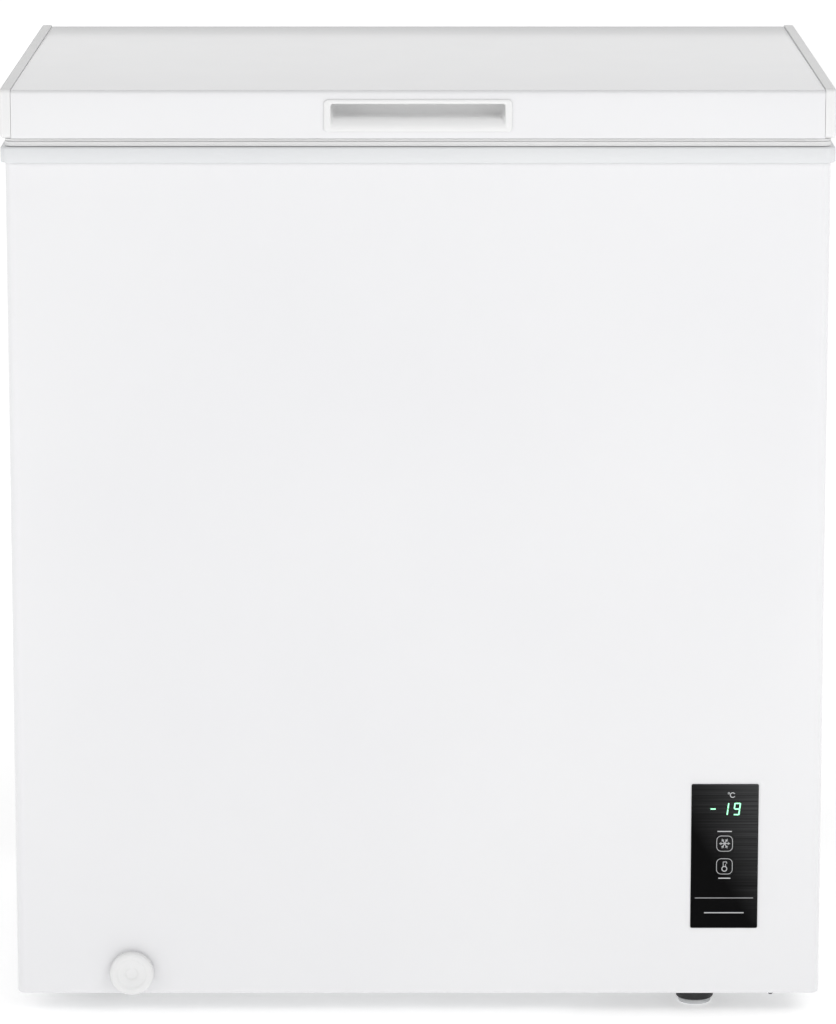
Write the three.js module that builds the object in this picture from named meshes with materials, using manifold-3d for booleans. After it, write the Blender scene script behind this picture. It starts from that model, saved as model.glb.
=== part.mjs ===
// A chest freezer of about 150 litres: a foamed steel cabinet with a hinged, foamed lid, a cooling circuit in
// its walls, a compressor bay at the lower right, a drain at the lower left and a basket hung on the rim.
// Millimetres, +Z up, the front faces -Y and the origin is on the floor under the middle of the whole object.
import * as THREE from "three";
import { mergeVertices } from "three/addons/utils/BufferGeometryUtils.js";
import Module from "manifold-3d";

const wasm = await Module();
wasm.setup();

// ---------------------------------------------------------------- driving dimensions
const WIDTH = 740; // across the lid and the rim
const LID_DEPTH = 545; // lid, front to back
const HEIGHT = 850; // floor to the top of the lid
const FOOT_HEIGHT = 20; // floor to the hem of the cabinet
const LID_THICK = 44;
const SEAL_GAP = 8; // rim to lid, filled by the gasket
const BODY_INSET = 4; // the cabinet walls stand this far inside the rim
const WALL = 62; // insulated wall, outside to inside
const FLOOR_WALL = 60; // insulated floor
const LEDGE = 10; // the basket's ledge inside the rim
const LEDGE_DROP = 14; // rim top to ledge
const RIM_BAND = 14; // the rim's outer band
const RIM_SKIN = 4;
const RIM_RADIUS = 10; // vertical corners of rim, seen from above
const BODY_RADIUS = 8; // vertical corners of the cabinet
const LINER_RADIUS = 24; // vertical corners of the freezing compartment
const SHEET = 1; // steel sheet
const HEM = 12; // folded edge under the cabinet walls
const GAP = 0.3; // between pieces that touch

const BAY_WIDTH = 225; // compressor bay, at the right
const BAY_HEIGHT = 230;
const BAY_WALL = 55; // insulation over and beside the bay

const HINGE_REACH = 25; // hinges stand this far behind the lid
const HINGE_SIDE = 120; // hinge to the side of the lid
const HINGE_HALF = 22; // half the width of the hinge channel
const HINGE_LENGTH = 92; // channel, below the rim
const HINGE_PLATE = 2;
const PIN_RADIUS = 3;
const PIN_BACK = 10; // pin behind the lid's back face
const PIN_RISE = 2; // pin above the rim
const NOSE = 9; // depth of the hinge leaf's cam below the pin, lid shut
const CAM_RATE = 2.15; // plunger's rise for each radian of the lid
const LID_OPEN = (80 * Math.PI) / 180;
const SPRING_RADIUS = 6;
const SPRING_WIRE = 0.9;
const SPRING_TURNS = 7;

const CAP_WIDTH = 10; // lid's side end caps
const CAP_PROUD = 1.5; // end caps above the lid's top sheet
const LID_BEND = 4; // rolled edge of the lid's sheet
const LID_LINER = 1.5;
const LID_DISH = 8; // raised middle of the lid's inner lining
const LID_MARGIN = 70; // lid edge to the raised middle
const GASKET_INSET = 17;
const GASKET_WIDTH = 16;

const HANDLE = { width: 166.4, height: 28.6, centreZ: 826.3, proud: 1.5, depth: 26, flange: 3.8, wall: 1.6 };
const DIAL = { side: 105, z: 41, radius: 20, proud: 9.5, neck: 7.2, neckLength: 4 };
const DRAIN = { outer: 13, bore: 10.5, back: 128, riser: 11, riserBore: 8 };
const SLEEVE = { radius: 10.1, bore: 7.5, length: 78, front: 4, slotStart: 8, slotEnd: 24, slotHalf: 5 };
const PLUG = { length: 16, lip: 3, height: 4, dish: 1.5 };
const PANEL = { side: 87.5, z: 149.8, width: 61, height: 135, proud: 1, plate: 2.5, depth: 34, wall: 2 };
const KEYS = [
  { name: "super_key", rise: 12 },
  { name: "temp_key", rise: -9.4 },
]; // above the middle of the panel
const KEY_SIZE = 15.4;
const KEY_TRAVEL = 0.8;

const EVAPORATOR = {
  radius: 4, lowerTurns: 2, upperTurns: 4, overFloor: 40, overStep: 45, underRim: 72, returnGap: 20,
};
const CONDENSER = { radius: 3, low: 150, underRim: 134, runs: 6, bend: 14 };
const COMPRESSOR = { fromBack: 161.5, stretch: 1.18, plateX: 85, plateY: 45, plate: 2.5, grommet: 12 };
const FOOT = { radius: 18.5, pad: 15, padHeight: 5 };
const BASKET = { fromRight: 14, width: 220, height: 200, wall: 3, hook: 4, side: 8 };

// ---------------------------------------------------------------- what follows from them
const half = WIDTH / 2;
const bodyHalf = half - BODY_INSET;
const dialReach = DIAL.proud - BODY_INSET; // the drain dial is what stands furthest forward
const lidFront = -(dialReach + LID_DEPTH + HINGE_REACH) / 2 + dialReach;
const lidBack = lidFront + LID_DEPTH;
const bodyFront = lidFront + BODY_INSET;
const bodyBack = lidBack - BODY_INSET;
const lidBase = HEIGHT - LID_THICK;
const rimTop = lidBase - SEAL_GAP;
const rimBase = rimTop - RIM_BAND;
const ledgeTop = rimTop - LEDGE_DROP;
const hem = FOOT_HEIGHT;
const panelBase = hem + SHEET + GAP; // underside of the bottom sheet and the bay's tray
const skinX = bodyHalf - SHEET - GAP; // inner faces of the outer sheets, with the gap
const skinFront = bodyFront + SHEET + GAP;
const skinBack = bodyBack - SHEET - GAP;
const bayLeft = skinX - BAY_WIDTH;
const bayTop = hem + BAY_HEIGHT;
const inner = { x: bodyHalf - WALL, front: bodyFront + WALL, back: bodyBack - WALL, floor: hem + FLOOR_WALL };
const step = { x: bayLeft - BAY_WALL, top: bayTop + BAY_WALL };
const axisY = lidBack + PIN_BACK; // lid hinge axis
const axisZ = rimTop + PIN_RISE;
const dialX = -bodyHalf + DIAL.side;
const panelX = bodyHalf - PANEL.side;
const compressorX = (bayLeft + skinX) / 2;
const compressorY = skinBack - COMPRESSOR.fromBack;

const LOOKS = {
  whitePaint: { color: 0xf0f0f2, roughness: 0.3, metalness: 0.1 },
  whitePlastic: { color: 0xeeeeee, roughness: 0.4, metalness: 0 },
  greyPlastic: { color: 0xd9dadc, roughness: 0.45, metalness: 0 },
  gasket: { color: 0xe6e6e6, roughness: 0.7, metalness: 0 },
  foam: { color: 0xe8dcae, roughness: 0.9, metalness: 0 },
  liner: { color: 0xd5d8da, roughness: 0.35, metalness: 0.9 },
  zinc: { color: 0x9da1a4, roughness: 0.4, metalness: 0.9 },
  copper: { color: 0xb87343, roughness: 0.35, metalness: 1 },
  blackPaint: { color: 0x16171a, roughness: 0.35, metalness: 0.2 },
  blackPlastic: { color: 0x131315, roughness: 0.5, metalness: 0 },
  blackGloss: { color: 0x08090a, roughness: 0.12, metalness: 0 },
  rubber: { color: 0x1b1b1c, roughness: 0.85, metalness: 0 },
  board: { color: 0x1f5c34, roughness: 0.5, metalness: 0 },
  wire: { color: 0xf2f2f2, roughness: 0.35, metalness: 0 },
};

// ---------------------------------------------------------------- geometry helpers
const AXES = { x: new THREE.Vector3(1, 0, 0), y: new THREE.Vector3(0, 1, 0), z: new THREE.Vector3(0, 0, 1) };

function block(x0, x1, y0, y1, z0, z1) {
  const box = new THREE.BoxGeometry(x1 - x0, y1 - y0, z1 - z0);
  return box.translate((x0 + x1) / 2, (y0 + y1) / 2, (z0 + z1) / 2);
}

// A cylinder between two points; radiusEnd makes it a cone.
function rod(from, to, radius, sides = 16, radiusEnd = radius) {
  const a = new THREE.Vector3(...from);
  const b = new THREE.Vector3(...to);
  const length = a.distanceTo(b);
  const turn = new THREE.Quaternion().setFromUnitVectors(AXES.y, b.clone().sub(a).divideScalar(length));
  return new THREE.CylinderGeometry(radiusEnd, radius, length, sides)
    .applyQuaternion(turn)
    .translate((a.x + b.x) / 2, (a.y + b.y) / 2, (a.z + b.z) / 2);
}

// An outline turned about the vertical axis.
function turned(profile, sides = 20) {
  const points = profile.map(([r, z]) => new THREE.Vector2(r, z));
  return new THREE.LatheGeometry(points, sides).rotateX(Math.PI / 2);
}

function polygon(points) {
  return new THREE.Shape(points.map(([u, v]) => new THREE.Vector2(u, v)));
}

function roundedRectangle(u0, u1, v0, v1, radius) {
  const shape = new THREE.Shape();
  shape.absarc(u1 - radius, v0 + radius, radius, -Math.PI / 2, 0);
  shape.absarc(u1 - radius, v1 - radius, radius, 0, Math.PI / 2);
  shape.absarc(u0 + radius, v1 - radius, radius, Math.PI / 2, Math.PI);
  shape.absarc(u0 + radius, v0 + radius, radius, Math.PI, Math.PI * 1.5);
  return shape;
}

// Extrusions of an outline along one axis. Outlines are in (x, y), (y, z) and (x, z).
function alongZ(shape, z0, z1, curveSegments = 3) {
  const settings = { depth: z1 - z0, bevelEnabled: false, curveSegments };
  return new THREE.ExtrudeGeometry(shape, settings).translate(0, 0, z0);
}
function alongX(shape, x0, x1, curveSegments = 3) {
  const turn = new THREE.Matrix4().makeBasis(AXES.y, AXES.z, AXES.x);
  return alongZ(shape, x0, x1, curveSegments).applyMatrix4(turn);
}
function alongY(shape, y0, y1, curveSegments = 3) {
  const turn = new THREE.Matrix4().makeBasis(AXES.x, AXES.z, AXES.y.clone().negate());
  return alongZ(shape, -y1, -y0, curveSegments).applyMatrix4(turn);
}

// A flat rectangular frame: an outer rounded rectangle with a hole, both given as [x0, x1, y0, y1, radius].
function frame(outer, hole, z0, z1) {
  const shape = roundedRectangle(...outer);
  shape.holes.push(roundedRectangle(...hole));
  return alongZ(shape, z0, z1);
}

// A path that runs straight between its corners and bends round each of them, for tubes and their grooves.
// A corner is [x, y, z], or [x, y, z, bend] where it bends by its own amount.
class BentPath extends THREE.Curve {
  constructor(corners, bend, stepsPerBend = 2) {
    super();
    const places = corners.map(([x, y, z]) => new THREE.Vector3(x, y, z));
    this.points = bendCorners(places, corners.map((corner) => corner[3] ?? bend), stepsPerBend);
  }
  getPoint(t, target = new THREE.Vector3()) {
    const last = this.points.length - 1;
    const index = Math.min(Math.floor(t * last), last - 1);
    return target.lerpVectors(this.points[index], this.points[index + 1], t * last - index);
  }
  getPointAt(u, target) {
    return this.getPoint(u, target);
  }
  getTangentAt(u, target) {
    return this.getTangent(u, target);
  }
}

function bendCorners(corners, bends, steps) {
  const points = [corners[0]];
  for (let i = 1; i < corners.length - 1; i++) {
    const before = corners[i - 1].clone().sub(corners[i]);
    const after = corners[i + 1].clone().sub(corners[i]);
    const reach = Math.min(bends[i], before.length() * 0.45, after.length() * 0.45);
    const start = corners[i].clone().addScaledVector(before.normalize(), reach);
    const end = corners[i].clone().addScaledVector(after.normalize(), reach);
    points.push(...new THREE.QuadraticBezierCurve3(start, corners[i], end).getPoints(steps));
  }
  return [...points, corners.at(-1)];
}

function tube(path, radius, sides = 6) {
  const section = new THREE.Shape(
    Array.from({ length: sides }, (_, i) => {
      const angle = (i / sides) * Math.PI * 2;
      return new THREE.Vector2(Math.cos(angle) * radius, Math.sin(angle) * radius);
    }),
  );
  return new THREE.ExtrudeGeometry(section, { steps: path.points.length - 1, extrudePath: path });
}

// ---------------------------------------------------------------- joining and cutting
function solid(geometry) {
  if (!(geometry instanceof THREE.BufferGeometry)) return geometry;
  const bare = geometry.clone().deleteAttribute("normal").deleteAttribute("uv");
  const merged = mergeVertices(bare, 1e-3);
  return new wasm.Manifold(
    new wasm.Mesh({
      numProp: 3,
      vertProperties: Float32Array.from(merged.attributes.position.array),
      triVerts: Uint32Array.from(merged.index.array),
    }),
  );
}
const join = (...shapes) => shapes.map(solid).reduce((all, next) => all.add(next));
const cut = (base, ...tools) => tools.map(solid).reduce((rest, tool) => rest.subtract(tool), solid(base));
const common = (...shapes) => shapes.map(solid).reduce((all, next) => all.intersect(next));

function geometryOf(shape) {
  if (shape instanceof THREE.BufferGeometry) return shape;
  const { vertProperties, triVerts } = shape.getMesh();
  const geometry = new THREE.BufferGeometry()
    .setAttribute("position", new THREE.BufferAttribute(vertProperties, 3))
    .setIndex(new THREE.BufferAttribute(triVerts, 1));
  geometry.computeVertexNormals();
  return geometry;
}

const freezer = new THREE.Group();
function piece(name, shape, look, parent = freezer) {
  const mesh = new THREE.Mesh(geometryOf(shape), new THREE.MeshStandardMaterial(LOOKS[look]));
  mesh.name = name;
  parent.add(mesh);
  return mesh;
}

// ---------------------------------------------------------------- the freezing compartment's shape
// The space inside the lining, with the step over the compressor bay, grown outwards all round.
function compartment(grow, top) {
  const profile = polygon([
    [-inner.x - grow, inner.floor - grow],
    [step.x + grow, inner.floor - grow],
    [step.x + grow, step.top - grow],
    [inner.x + grow, step.top - grow],
    [inner.x + grow, top],
    [-inner.x - grow, top],
  ]);
  const corners = roundedRectangle(
    -inner.x - grow, inner.x + grow, inner.front - grow, inner.back + grow, LINER_RADIUS + grow,
  );
  return common(alongY(profile, inner.front - grow, inner.back + grow), alongZ(corners, 0, HEIGHT));
}
const rimWell = (grow) => [
  -inner.x - LEDGE - grow, inner.x + LEDGE + grow,
  inner.front - LEDGE - grow, inner.back + LEDGE + grow, LINER_RADIUS + LEDGE + grow,
];
const linerTop = ledgeTop - 2 - GAP; // the ledge is 2 thick

// ---------------------------------------------------------------- cooling tubes, laid against the sheets
const evenly = (low, high, count) =>
  Array.from({ length: count }, (_, i) => low + ((high - low) * i) / (count - 1));

function evaporatorPath() {
  const off = SHEET + GAP + EVAPORATOR.radius;
  const front = inner.front - off;
  const back = inner.back + off;
  const left = -inner.x - off;
  const returnX = inner.x + off + EVAPORATOR.returnGap;
  const tight = 2 * EVAPORATOR.radius; // the step's corners are square, so the tube turns tightly round them
  const start = inner.floor + EVAPORATOR.overFloor;
  const lower = evenly(start, step.top - 2 * EVAPORATOR.overStep, EVAPORATOR.lowerTurns);
  const upper = evenly(step.top + EVAPORATOR.overStep, linerTop - EVAPORATOR.underRim, EVAPORATOR.upperTurns);
  const corners = [[bayLeft + 26, back, start]];
  const turns = [
    ...lower.map((z) => ({ right: step.x + off + EVAPORATOR.radius, z, bend: tight })),
    ...upper.map((z) => ({ right: inner.x + off, z, bend: LINER_RADIUS })),
  ];
  for (const { right, z, bend } of turns) {
    corners.push([right, back, z, bend], [right, front, z, bend]);
    corners.push([left, front, z], [left, back, z]);
  }
  const { z } = turns.at(-1);
  corners.push([returnX, back, z + 30], [returnX, back, bayTop - 16]);
  return new BentPath(corners, LINER_RADIUS);
}
function condenserPath() {
  const off = CONDENSER.radius;
  const front = skinFront + off;
  const left = -skinX + off;
  const back = skinBack - 70;
  const corners = [[bayLeft + 20, front, CONDENSER.low]];
  const runs = evenly(CONDENSER.low, rimBase - CONDENSER.underRim, CONDENSER.runs);
  for (let run = 0; run < CONDENSER.runs; run += 2) {
    const [z, next] = [runs[run], runs[run + 1]];
    const last = run + 2 >= CONDENSER.runs;
    if (run) corners.push([bayLeft - 20, front, z]);
    corners.push([left, front, z], [left, back, z], [left, back, next], [left, front, next]);
    corners.push([last ? bayLeft + 60 : bayLeft - 20, front, next]);
  }
  corners.push([bayLeft + 60, front, bayTop - 12]);
  return new BentPath(corners, CONDENSER.bend);
}
const evaporator = evaporatorPath();
const condenser = condenserPath();
const evaporatorIn = evaporator.points[0];
const evaporatorOut = evaporator.points.at(-1);
const condenserIn = condenser.points[0];
const condenserOut = condenser.points.at(-1);

// ---------------------------------------------------------------- cabinet
const drainY = bodyFront + DRAIN.back; // the drain's riser
const drainLine = (y0, y1, radius) => rod([dialX, y0, DIAL.z], [dialX, y1, DIAL.z], radius, 20);
const drainRiser = (z0, z1, radius) => rod([dialX, drainY, z0], [dialX, drainY, z1], radius, 20);
const panelBox = (grow, y0, y1) =>
  block(
    panelX - PANEL.width / 2 - grow, panelX + PANEL.width / 2 + grow, y0, y1,
    PANEL.z - PANEL.height / 2 - grow, PANEL.z + PANEL.height / 2 + grow,
  );
// Grille in the right side of the bay, beside the compressor
const vent = { front: compressorY - 76, back: compressorY + 94, low: hem + 35, high: bayTop - 35 };

// The outline of the front and both sides seen from above, offset inwards.
function foldedFront(inset, yEnd) {
  const x = bodyHalf - inset;
  const y = bodyFront + inset;
  const radius = BODY_RADIUS - inset;
  const bends = [
    [x - radius, y + radius, 0, -Math.PI / 2],
    [-x + radius, y + radius, -Math.PI / 2, -Math.PI],
  ];
  const arcs = bends.flatMap(([cx, cy, a0, a1]) =>
    new THREE.EllipseCurve(cx, cy, radius, radius, a0, a1, true).getPoints(3).map((p) => [p.x, p.y]),
  );
  return [[x, yEnd], ...arcs, [-x, yEnd]];
}
function foldedSheet(thickness, z0, z1, yEnd) {
  return alongZ(polygon([...foldedFront(0, yEnd).reverse(), ...foldedFront(thickness, yEnd)]), z0, z1);
}
// The hem's inner corners are square, because it is wider than the bend.
function hemFold(yEnd) {
  const strip = foldedFront(0, yEnd);
  return cut(
    alongZ(polygon([...strip].reverse()), hem, hem + SHEET),
    block(-bodyHalf + HEM, bodyHalf - HEM, bodyFront + HEM, yEnd + 1, hem - 1, hem + SHEET + 1),
  );
}
const wrapperTop = rimTop - RIM_SKIN - GAP;
piece(
  "cabinet_wrapper",
  cut(
    join(foldedSheet(SHEET, hem, wrapperTop, skinBack), hemFold(skinBack)),
    panelBox(GAP, bodyFront - 5, bodyFront + 5),
    drainLine(bodyFront - 5, bodyFront + 5, DRAIN.outer + GAP),
    block(bodyHalf - 5, bodyHalf + 5, vent.front, vent.back, vent.low, vent.high),
  ),
  "whitePaint",
);
piece(
  "back_panel",
  cut(
    block(-bodyHalf, bodyHalf, bodyBack - SHEET, bodyBack, hem, wrapperTop),
    block(bayLeft, bodyHalf + 1, bodyBack - 5, bodyBack + 5, hem - 1, bayTop),
  ),
  "zinc",
);

const floorProfile = polygon([
  [-skinX, panelBase],
  [bayLeft, panelBase],
  [bayLeft, bayTop],
  [skinX, bayTop],
  [skinX, bayTop + SHEET],
  [bayLeft - SHEET, bayTop + SHEET],
  [bayLeft - SHEET, panelBase + SHEET],
  [-skinX, panelBase + SHEET],
]);
piece(
  "bottom_panel",
  cut(
    alongY(floorProfile, skinFront + 8, skinBack),
    rod([bayLeft - 5, evaporatorIn.y, evaporatorIn.z], [bayLeft + 5, evaporatorIn.y, evaporatorIn.z], 6, 12),
    rod(
      [evaporatorOut.x, evaporatorOut.y, bayTop - 5],
      [evaporatorOut.x, evaporatorOut.y, bayTop + 5],
      6,
      12,
    ),
  ),
  "zinc",
);

const foamBlock = cut(
  alongZ(
    roundedRectangle(-skinX, skinX, skinFront, skinBack, BODY_RADIUS - SHEET - GAP),
    panelBase + SHEET + GAP,
    wrapperTop,
  ),
  block(bayLeft - SHEET - GAP, bodyHalf, bodyFront, bodyBack, 0, bayTop + SHEET + GAP),
  compartment(SHEET + GAP, HEIGHT),
  alongZ(roundedRectangle(...rimWell(2 + GAP)), linerTop, HEIGHT),
);
piece(
  "body_foam",
  cut(
    foamBlock,
    tube(evaporator, EVAPORATOR.radius + 1),
    tube(condenser, CONDENSER.radius + 1),
    drainLine(bodyFront, drainY + DRAIN.outer + GAP, DRAIN.outer + GAP),
    drainRiser(DIAL.z, inner.floor, DRAIN.riser + GAP),
  ),
  "foam",
);
piece(
  "inner_liner",
  cut(
    compartment(SHEET, linerTop),
    compartment(0, HEIGHT),
    drainRiser(hem, inner.floor + 5, DRAIN.riser + GAP),
  ),
  "liner",
);

const rimOuter = [-half, half, lidFront, lidBack, RIM_RADIUS];
const compartmentMouth = [-inner.x, inner.x, inner.front, inner.back, LINER_RADIUS];
piece(
  "top_rim",
  join(
    cut(
      frame(rimOuter, rimWell(0), rimBase, rimTop),
      alongZ(polygon(foldedFront(-GAP, bodyBack + GAP).reverse()), rimBase - 1, rimTop - RIM_SKIN),
    ),
    frame(rimWell(2), rimWell(0), ledgeTop - 2, rimTop),
    frame(rimWell(2), compartmentMouth, ledgeTop - 2, ledgeTop),
  ),
  "greyPlastic",
);
piece("evaporator_coil", tube(evaporator, EVAPORATOR.radius), "copper");
piece("condenser_coil", tube(condenser, CONDENSER.radius), "copper");

// ---------------------------------------------------------------- drain
const flangeFace = bodyFront - GAP - 1.5;
piece(
  "drain_tube",
  cut(
    join(
      drainLine(flangeFace, bodyFront - GAP, DRAIN.outer + 4),
      drainLine(flangeFace, drainY + DRAIN.outer, DRAIN.outer),
      drainRiser(DIAL.z, inner.floor - GAP, DRAIN.riser),
    ),
    drainLine(flangeFace - 1, drainY + DRAIN.bore, DRAIN.bore),
    drainRiser(DIAL.z, inner.floor + 1, DRAIN.riserBore),
  ),
  "greyPlastic",
);
// The sleeve slides in the tube. Pulled out, the slot in its underside lets the water out. Its neck holds
// the dial.
const sleeveBack = flangeFace + SLEEVE.length;
piece(
  "drain_sleeve",
  cut(
    join(
      drainLine(flangeFace, sleeveBack, SLEEVE.radius),
      drainLine(flangeFace - DIAL.neckLength, flangeFace + 1, DIAL.neck),
    ),
    drainLine(flangeFace + SLEEVE.front, sleeveBack + 1, SLEEVE.bore),
    block(
      dialX - SLEEVE.slotHalf, dialX + SLEEVE.slotHalf,
      flangeFace + SLEEVE.slotStart, flangeFace + SLEEVE.slotEnd,
      DIAL.z - SLEEVE.radius - 1, DIAL.z,
    ),
  ),
  "greyPlastic",
);
const dialThick = DIAL.proud - (bodyFront - flangeFace) - GAP;
const dialProfile = [
  [0, dialThick - 1.5], [5, dialThick - 1.5], [6.5, dialThick - 0.5],
  [12, dialThick - 0.5], [13.5, dialThick],
  [DIAL.radius - 2, dialThick], [DIAL.radius, dialThick - 2], [DIAL.radius, 0],
  [DIAL.neck + GAP, 0], [DIAL.neck + GAP, DIAL.neckLength], [0, DIAL.neckLength],
];
const dial = piece("drain_dial", turned(dialProfile.toReversed()), "whitePlastic");
dial.position.set(dialX, flangeFace - GAP, DIAL.z);
dial.rotation.x = Math.PI / 2;
const plugProfile = [
  [0, -PLUG.length], [DRAIN.riserBore - 1, -PLUG.length], [DRAIN.riserBore - GAP, 0],
  [DRAIN.riser + PLUG.lip, 0], [DRAIN.riser + PLUG.lip, PLUG.height / 2], [DRAIN.riser, PLUG.height],
  [4, PLUG.height], [3, PLUG.height - PLUG.dish], [0, PLUG.height - PLUG.dish],
];
const plug = piece("drain_plug", turned(plugProfile, 20), "whitePlastic");
plug.position.set(dialX, drainY, inner.floor + GAP);

// ---------------------------------------------------------------- control panel
const panelFace = bodyFront - PANEL.proud;
const panelRear = panelFace + PANEL.plate + GAP;
piece(
  "control_housing",
  cut(
    panelBox(-1, panelRear, panelRear + PANEL.depth),
    panelBox(-1 - PANEL.wall, panelRear - 1, panelRear + PANEL.depth - PANEL.wall),
  ),
  "blackPlastic",
);
const keyOutline = (key, grow) => {
  const reach = KEY_SIZE / 2 + grow;
  const z = PANEL.z + key.rise;
  return roundedRectangle(panelX - reach, panelX + reach, z - reach, z + reach, 2.5 + grow);
};
const displayWindow = block(panelX - 16, panelX + 18, panelFace + 1.2, panelRear, PANEL.z + 36, PANEL.z + 53);
piece(
  "control_fascia",
  cut(
    panelBox(0, panelFace, panelFace + PANEL.plate),
    displayWindow,
    ...KEYS.map((key) => alongY(keyOutline(key, GAP), panelFace - 1, panelRear)),
  ),
  "blackGloss",
);
const boardFront = panelRear + 9;
piece(
  "display_board",
  block(
    panelX - PANEL.width / 2 + 6, panelX + PANEL.width / 2 - 6, boardFront, boardFront + 1.6,
    PANEL.z - PANEL.height / 2 + 14, PANEL.z + PANEL.height / 2 - 10,
  ),
  "board",
);
// Each key is a cap that fills its hole and a stem that ends where its travel takes it to the board.
for (const key of KEYS)
  piece(
    key.name,
    join(
      alongY(keyOutline(key, 0), panelFace, panelFace + PANEL.plate + 1),
      rod(
        [panelX, panelRear, PANEL.z + key.rise],
        [panelX, boardFront - KEY_TRAVEL - GAP, PANEL.z + key.rise],
        2.5,
        12,
      ),
    ),
    "blackGloss",
  );

// ---------------------------------------------------------------- compressor bay
const trayTop = panelBase + 2;
const gland = { x: bayLeft + 45, z: hem + 48, radius: 9, bore: 4 };
const SLOT_PITCH = 15;
const bayCoverSlots = Array.from({ length: Math.floor((BAY_HEIGHT - 85) / SLOT_PITCH) }, (_, i) => {
  const z = hem + 85 + i * SLOT_PITCH;
  return block(bayLeft + 30, skinX - 30, bodyBack - 5, bodyBack + 5, z, z + 6);
});
piece("compressor_tray", block(bayLeft + GAP, skinX, bodyFront + 25, skinBack, panelBase, trayTop), "zinc");
piece(
  "rear_bay_cover",
  cut(
    block(bayLeft + GAP, bodyHalf, bodyBack - SHEET, bodyBack, hem, bayTop - GAP),
    ...bayCoverSlots,
    rod([gland.x, bodyBack - 5, gland.z], [gland.x, bodyBack + 5, gland.z], gland.radius - 2, 16),
  ),
  "zinc",
);
const glandPoint = (behind) => [gland.x, bodyBack + behind, gland.z];
piece(
  "cord_gland",
  cut(
    join(
      rod(glandPoint(-8), glandPoint(10), gland.radius - 2 - GAP, 16, 5.6),
      rod(glandPoint(GAP), glandPoint(3), gland.radius, 16),
    ),
    rod(glandPoint(-9), glandPoint(11), gland.bore, 16),
  ),
  "rubber",
);
const GRILLE_PITCH = 18;
const grilleSlots = Array.from({ length: Math.floor((vent.high - vent.low - 16) / GRILLE_PITCH) }, (_, i) => {
  const z = vent.low + 14 + i * GRILLE_PITCH;
  return block(bodyHalf - 9, bodyHalf + 9, vent.front + 12, vent.back - 12, z, z + 8);
});
piece(
  "side_vent_grille",
  cut(
    join(
      block(bodyHalf - 3, bodyHalf + 1.5, vent.front + GAP, vent.back - GAP, vent.low + GAP, vent.high - GAP),
      block(bodyHalf + GAP, bodyHalf + 1.5, vent.front - 4, vent.back + 4, vent.low - 4, vent.high + 4),
    ),
    ...grilleSlots,
  ),
  "greyPlastic",
);

const bay = new THREE.Group();
bay.position.set(compressorX, compressorY, trayTop);
freezer.add(bay);
const plateBase = COMPRESSOR.grommet + 2 * GAP;
const plateTop = plateBase + COMPRESSOR.plate;
const FOOT_BAR = 14; // half the width of each bar under the compressor
const footBarX = COMPRESSOR.plateX + FOOT_BAR;
piece(
  "compressor_feet",
  join(
    ...[-COMPRESSOR.plateY, COMPRESSOR.plateY].map((y) =>
      block(-footBarX, footBarX, y - FOOT_BAR, y + FOOT_BAR, plateBase, plateTop),
    ),
    block(-30, 30, -COMPRESSOR.plateY - 14, COMPRESSOR.plateY + 14, plateBase, plateTop),
  ),
  "blackPaint",
  bay,
);
const shellProfile = [
  [0, 0], [48, 0], [66, 12], [71, 32], [71, 66], [75, 68],
  [75, 75], [71, 77], [71, 106], [60, 138], [34, 152], [0, 155],
];
const shell = piece("compressor", turned(shellProfile, 24), "blackPaint", bay);
shell.position.z = plateTop + GAP;
shell.scale.x = COMPRESSOR.stretch;
const grommetProfile = [
  [0, 0], [11, 0], [11, 4], [8.5, 6], [11, 8], [11, COMPRESSOR.grommet], [0, COMPRESSOR.grommet],
];
const corners = [["front_left", -1, -1], ["front_right", 1, -1], ["rear_left", -1, 1], ["rear_right", 1, 1]];
for (const [corner, sx, sy] of corners) {
  const grommet = piece(`compressor_grommet_${corner}`, turned(grommetProfile, 16), "rubber", bay);
  grommet.position.set(sx * COMPRESSOR.plateX, sy * COMPRESSOR.plateY, GAP);
}
piece("terminal_cover", block(-28, 30, -112, -78, 62, 122), "blackPlastic", bay);

const drierEnd = evaporatorIn.x + GAP;
const drierPoint = (along) => [drierEnd + along, evaporatorIn.y, evaporatorIn.z];
piece(
  "filter_drier",
  join(
    rod(drierPoint(0), drierPoint(14), 4, 16, 9),
    rod(drierPoint(14), drierPoint(90), 9, 16),
    rod(drierPoint(90), drierPoint(104), 9, 16, 3),
  ),
  "copper",
);
const shellHalfX = 71 * COMPRESSOR.stretch;
const shellRight = compressorX + 40;
const shellBackY = compressorY + 71 * Math.sqrt(1 - (40 / shellHalfX) ** 2);
piece(
  "suction_tube",
  tube(
    new BentPath(
      [
        [evaporatorOut.x, evaporatorOut.y, evaporatorOut.z - GAP],
        [evaporatorOut.x, evaporatorOut.y, 95],
        [shellRight, evaporatorOut.y, 95],
        [shellRight, shellBackY + 2.5, 95],
      ],
      14,
    ),
    EVAPORATOR.radius,
  ),
  "copper",
);
piece(
  "discharge_tube",
  tube(
    new BentPath(
      [
        [compressorX - shellHalfX - 1, compressorY, 125],
        [bayLeft + 9, compressorY, 125],
        [bayLeft + 9, bodyFront + 90, 125],
        [condenserIn.x + 30, bodyFront + 40, condenserIn.z],
        [condenserIn.x + 30, condenserIn.y, condenserIn.z],
        [condenserIn.x + GAP, condenserIn.y, condenserIn.z],
      ],
      12,
    ),
    CONDENSER.radius,
  ),
  "copper",
);
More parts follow.
